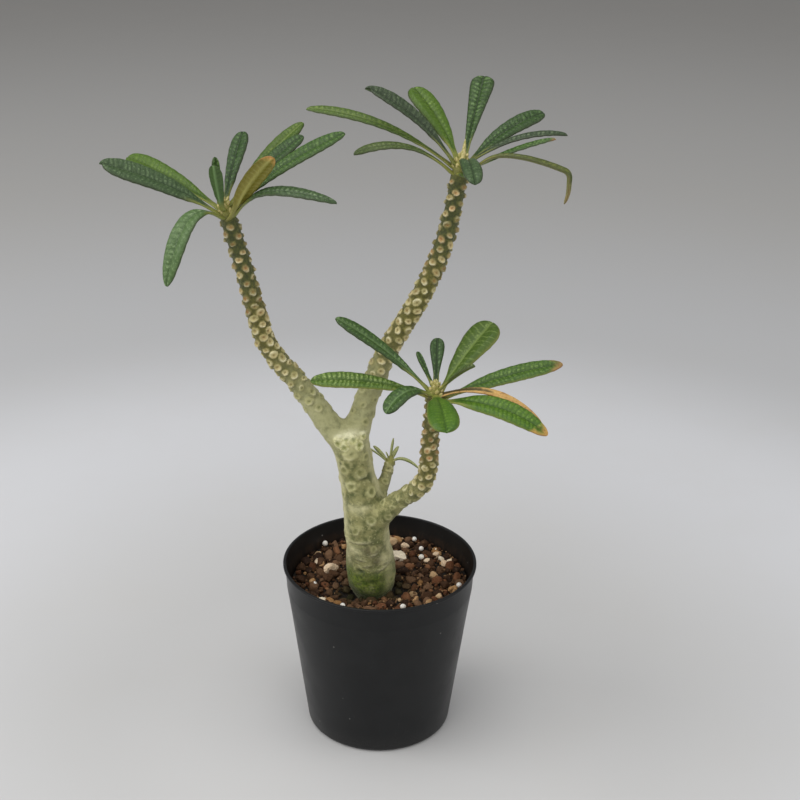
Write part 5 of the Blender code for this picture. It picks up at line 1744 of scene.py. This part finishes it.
CAMERA_PLACE = (8.4, -649.2, 458.0)
CAMERA_PITCH = 24.24
CAMERA_ROLL = 0.75
CAMERA_LENS = 72.0
SENSOR = 36.0

# The floor and the lamps are in metres
FLOOR_RADIUS = 6.0
FLOOR_DROP = 0.0002
# Tone of the floor's middle, and the tones round it with the distances they come in over. The nearer
# tones are painted light and shade: brightest and a little blue in a ring round the pot, darker farther
# out, and lifted round the pot to lighten its shadow; far off the floor turns pale to meet the world.
FLOOR_MIDDLE = (0.576, 0.578, 0.584)
FLOOR_BANDS = [
    (0.09, 0.14, (0.548, 0.551, 0.558)),
    (0.14, 0.33, (0.646, 0.657, 0.688)),
    (0.34, 0.52, (0.515, 0.522, 0.538)),
    (0.55, 0.95, (0.485, 0.482, 0.476)),
    (1.10, 2.00, (0.420, 0.410, 0.395)),
    (2.20, 5.00, (0.930, 0.925, 0.920)),
]
# Name, place, width and power
LAMPS = [
    ("top", (-0.12, -0.05, 1.40), 0.9, 5.6),
    ("left", (-0.65, -1.15, 1.05), 1.4, 7.7),
    ("right", (0.60, -1.20, 0.95), 1.4, 4.9),
    ("far_left", (-1.15, -0.20, 0.80), 1.0, 7.0),
    ("far_right", (1.15, -0.20, 0.80), 1.0, 3.5),
]
LAMP_AIM = (0.0, 0.03, 0.12)
LAMP_COLOUR = (1.0, 0.985, 0.96)


def make_camera():
    camera = bpy.data.objects.new("camera", bpy.data.cameras.new("camera"))
    camera.data.sensor_width = SENSOR
    camera.data.lens = CAMERA_LENS
    camera.data.clip_start = 0.01
    camera.data.clip_end = 50.0
    camera.location = Vector(CAMERA_PLACE) * MM
    tilt = Matrix.Rotation(math.radians(90 - CAMERA_PITCH), 4, "X")
    roll = Matrix.Rotation(math.radians(CAMERA_ROLL), 4, "Z")
    camera.matrix_world = Matrix.Translation(camera.location) @ tilt @ roll
    bpy.context.scene.collection.objects.link(camera)
    bpy.context.scene.camera = camera


def make_floor():
    shape = bmesh.new()
    bmesh.ops.create_circle(shape, cap_ends=True, segments=96, radius=FLOOR_RADIUS)
    mesh = bpy.data.meshes.new("floor")
    shape.to_mesh(mesh)
    shape.free()
    floor = bpy.data.objects.new("floor", mesh)
    floor.location.z = -FLOOR_DROP
    bpy.context.scene.collection.objects.link(floor)
    graph = Graph("floor", 0.6)
    reach = graph.node("ShaderNodeVectorMath", operation="LENGTH")
    graph.feed(reach.inputs[0], graph.place)
    away = reach.outputs["Value"]
    # The floor's colour, with painted light and shade by distance
    paper_and_painted_light = graph.layered(FLOOR_MIDDLE, *((colour, graph.span(away, near, far))
                                          for near, far, colour in FLOOR_BANDS))
    smudge = graph.span(graph.noise(60.0, 4.0), 0.4, 0.8, 0.0, 0.08)
    graph.colour(graph.layered(paper_and_painted_light, ((0.52, 0.50, 0.46), smudge)))
    floor.data.materials.append(graph.material)


def make_lights():
    """Five soft lamps that all face the plant, and an even grey world."""
    for name, place, size, power in LAMPS:
        data = bpy.data.lights.new(name, "AREA")
        data.shape = "DISK"
        data.size = size
        data.energy = power
        data.color = LAMP_COLOUR
        lamp = bpy.data.objects.new(name, data)
        lamp.location = place
        lamp.rotation_mode = "QUATERNION"
        lamp.rotation_quaternion = (Vector(LAMP_AIM) - Vector(place)).to_track_quat("-Z", "Y")
        bpy.context.scene.collection.objects.link(lamp)
    world = bpy.data.worlds.new("studio")
    world.use_nodes = True
    background = world.node_tree.nodes["Background"]
    background.inputs["Color"].default_value = (0.80, 0.80, 0.80, 1.0)
    background.inputs["Strength"].default_value = 0.40
    bpy.context.scene.world = world
    bpy.context.scene.view_settings.view_transform = "Standard"


make_camera()
make_floor()
make_lights()
make_pot()
make_soil()
bark = make_stem()
leaf_materials = make_leaves()
make_side_shoot(bark, leaf_materials["sprig"])
make_crowns(scale_material())
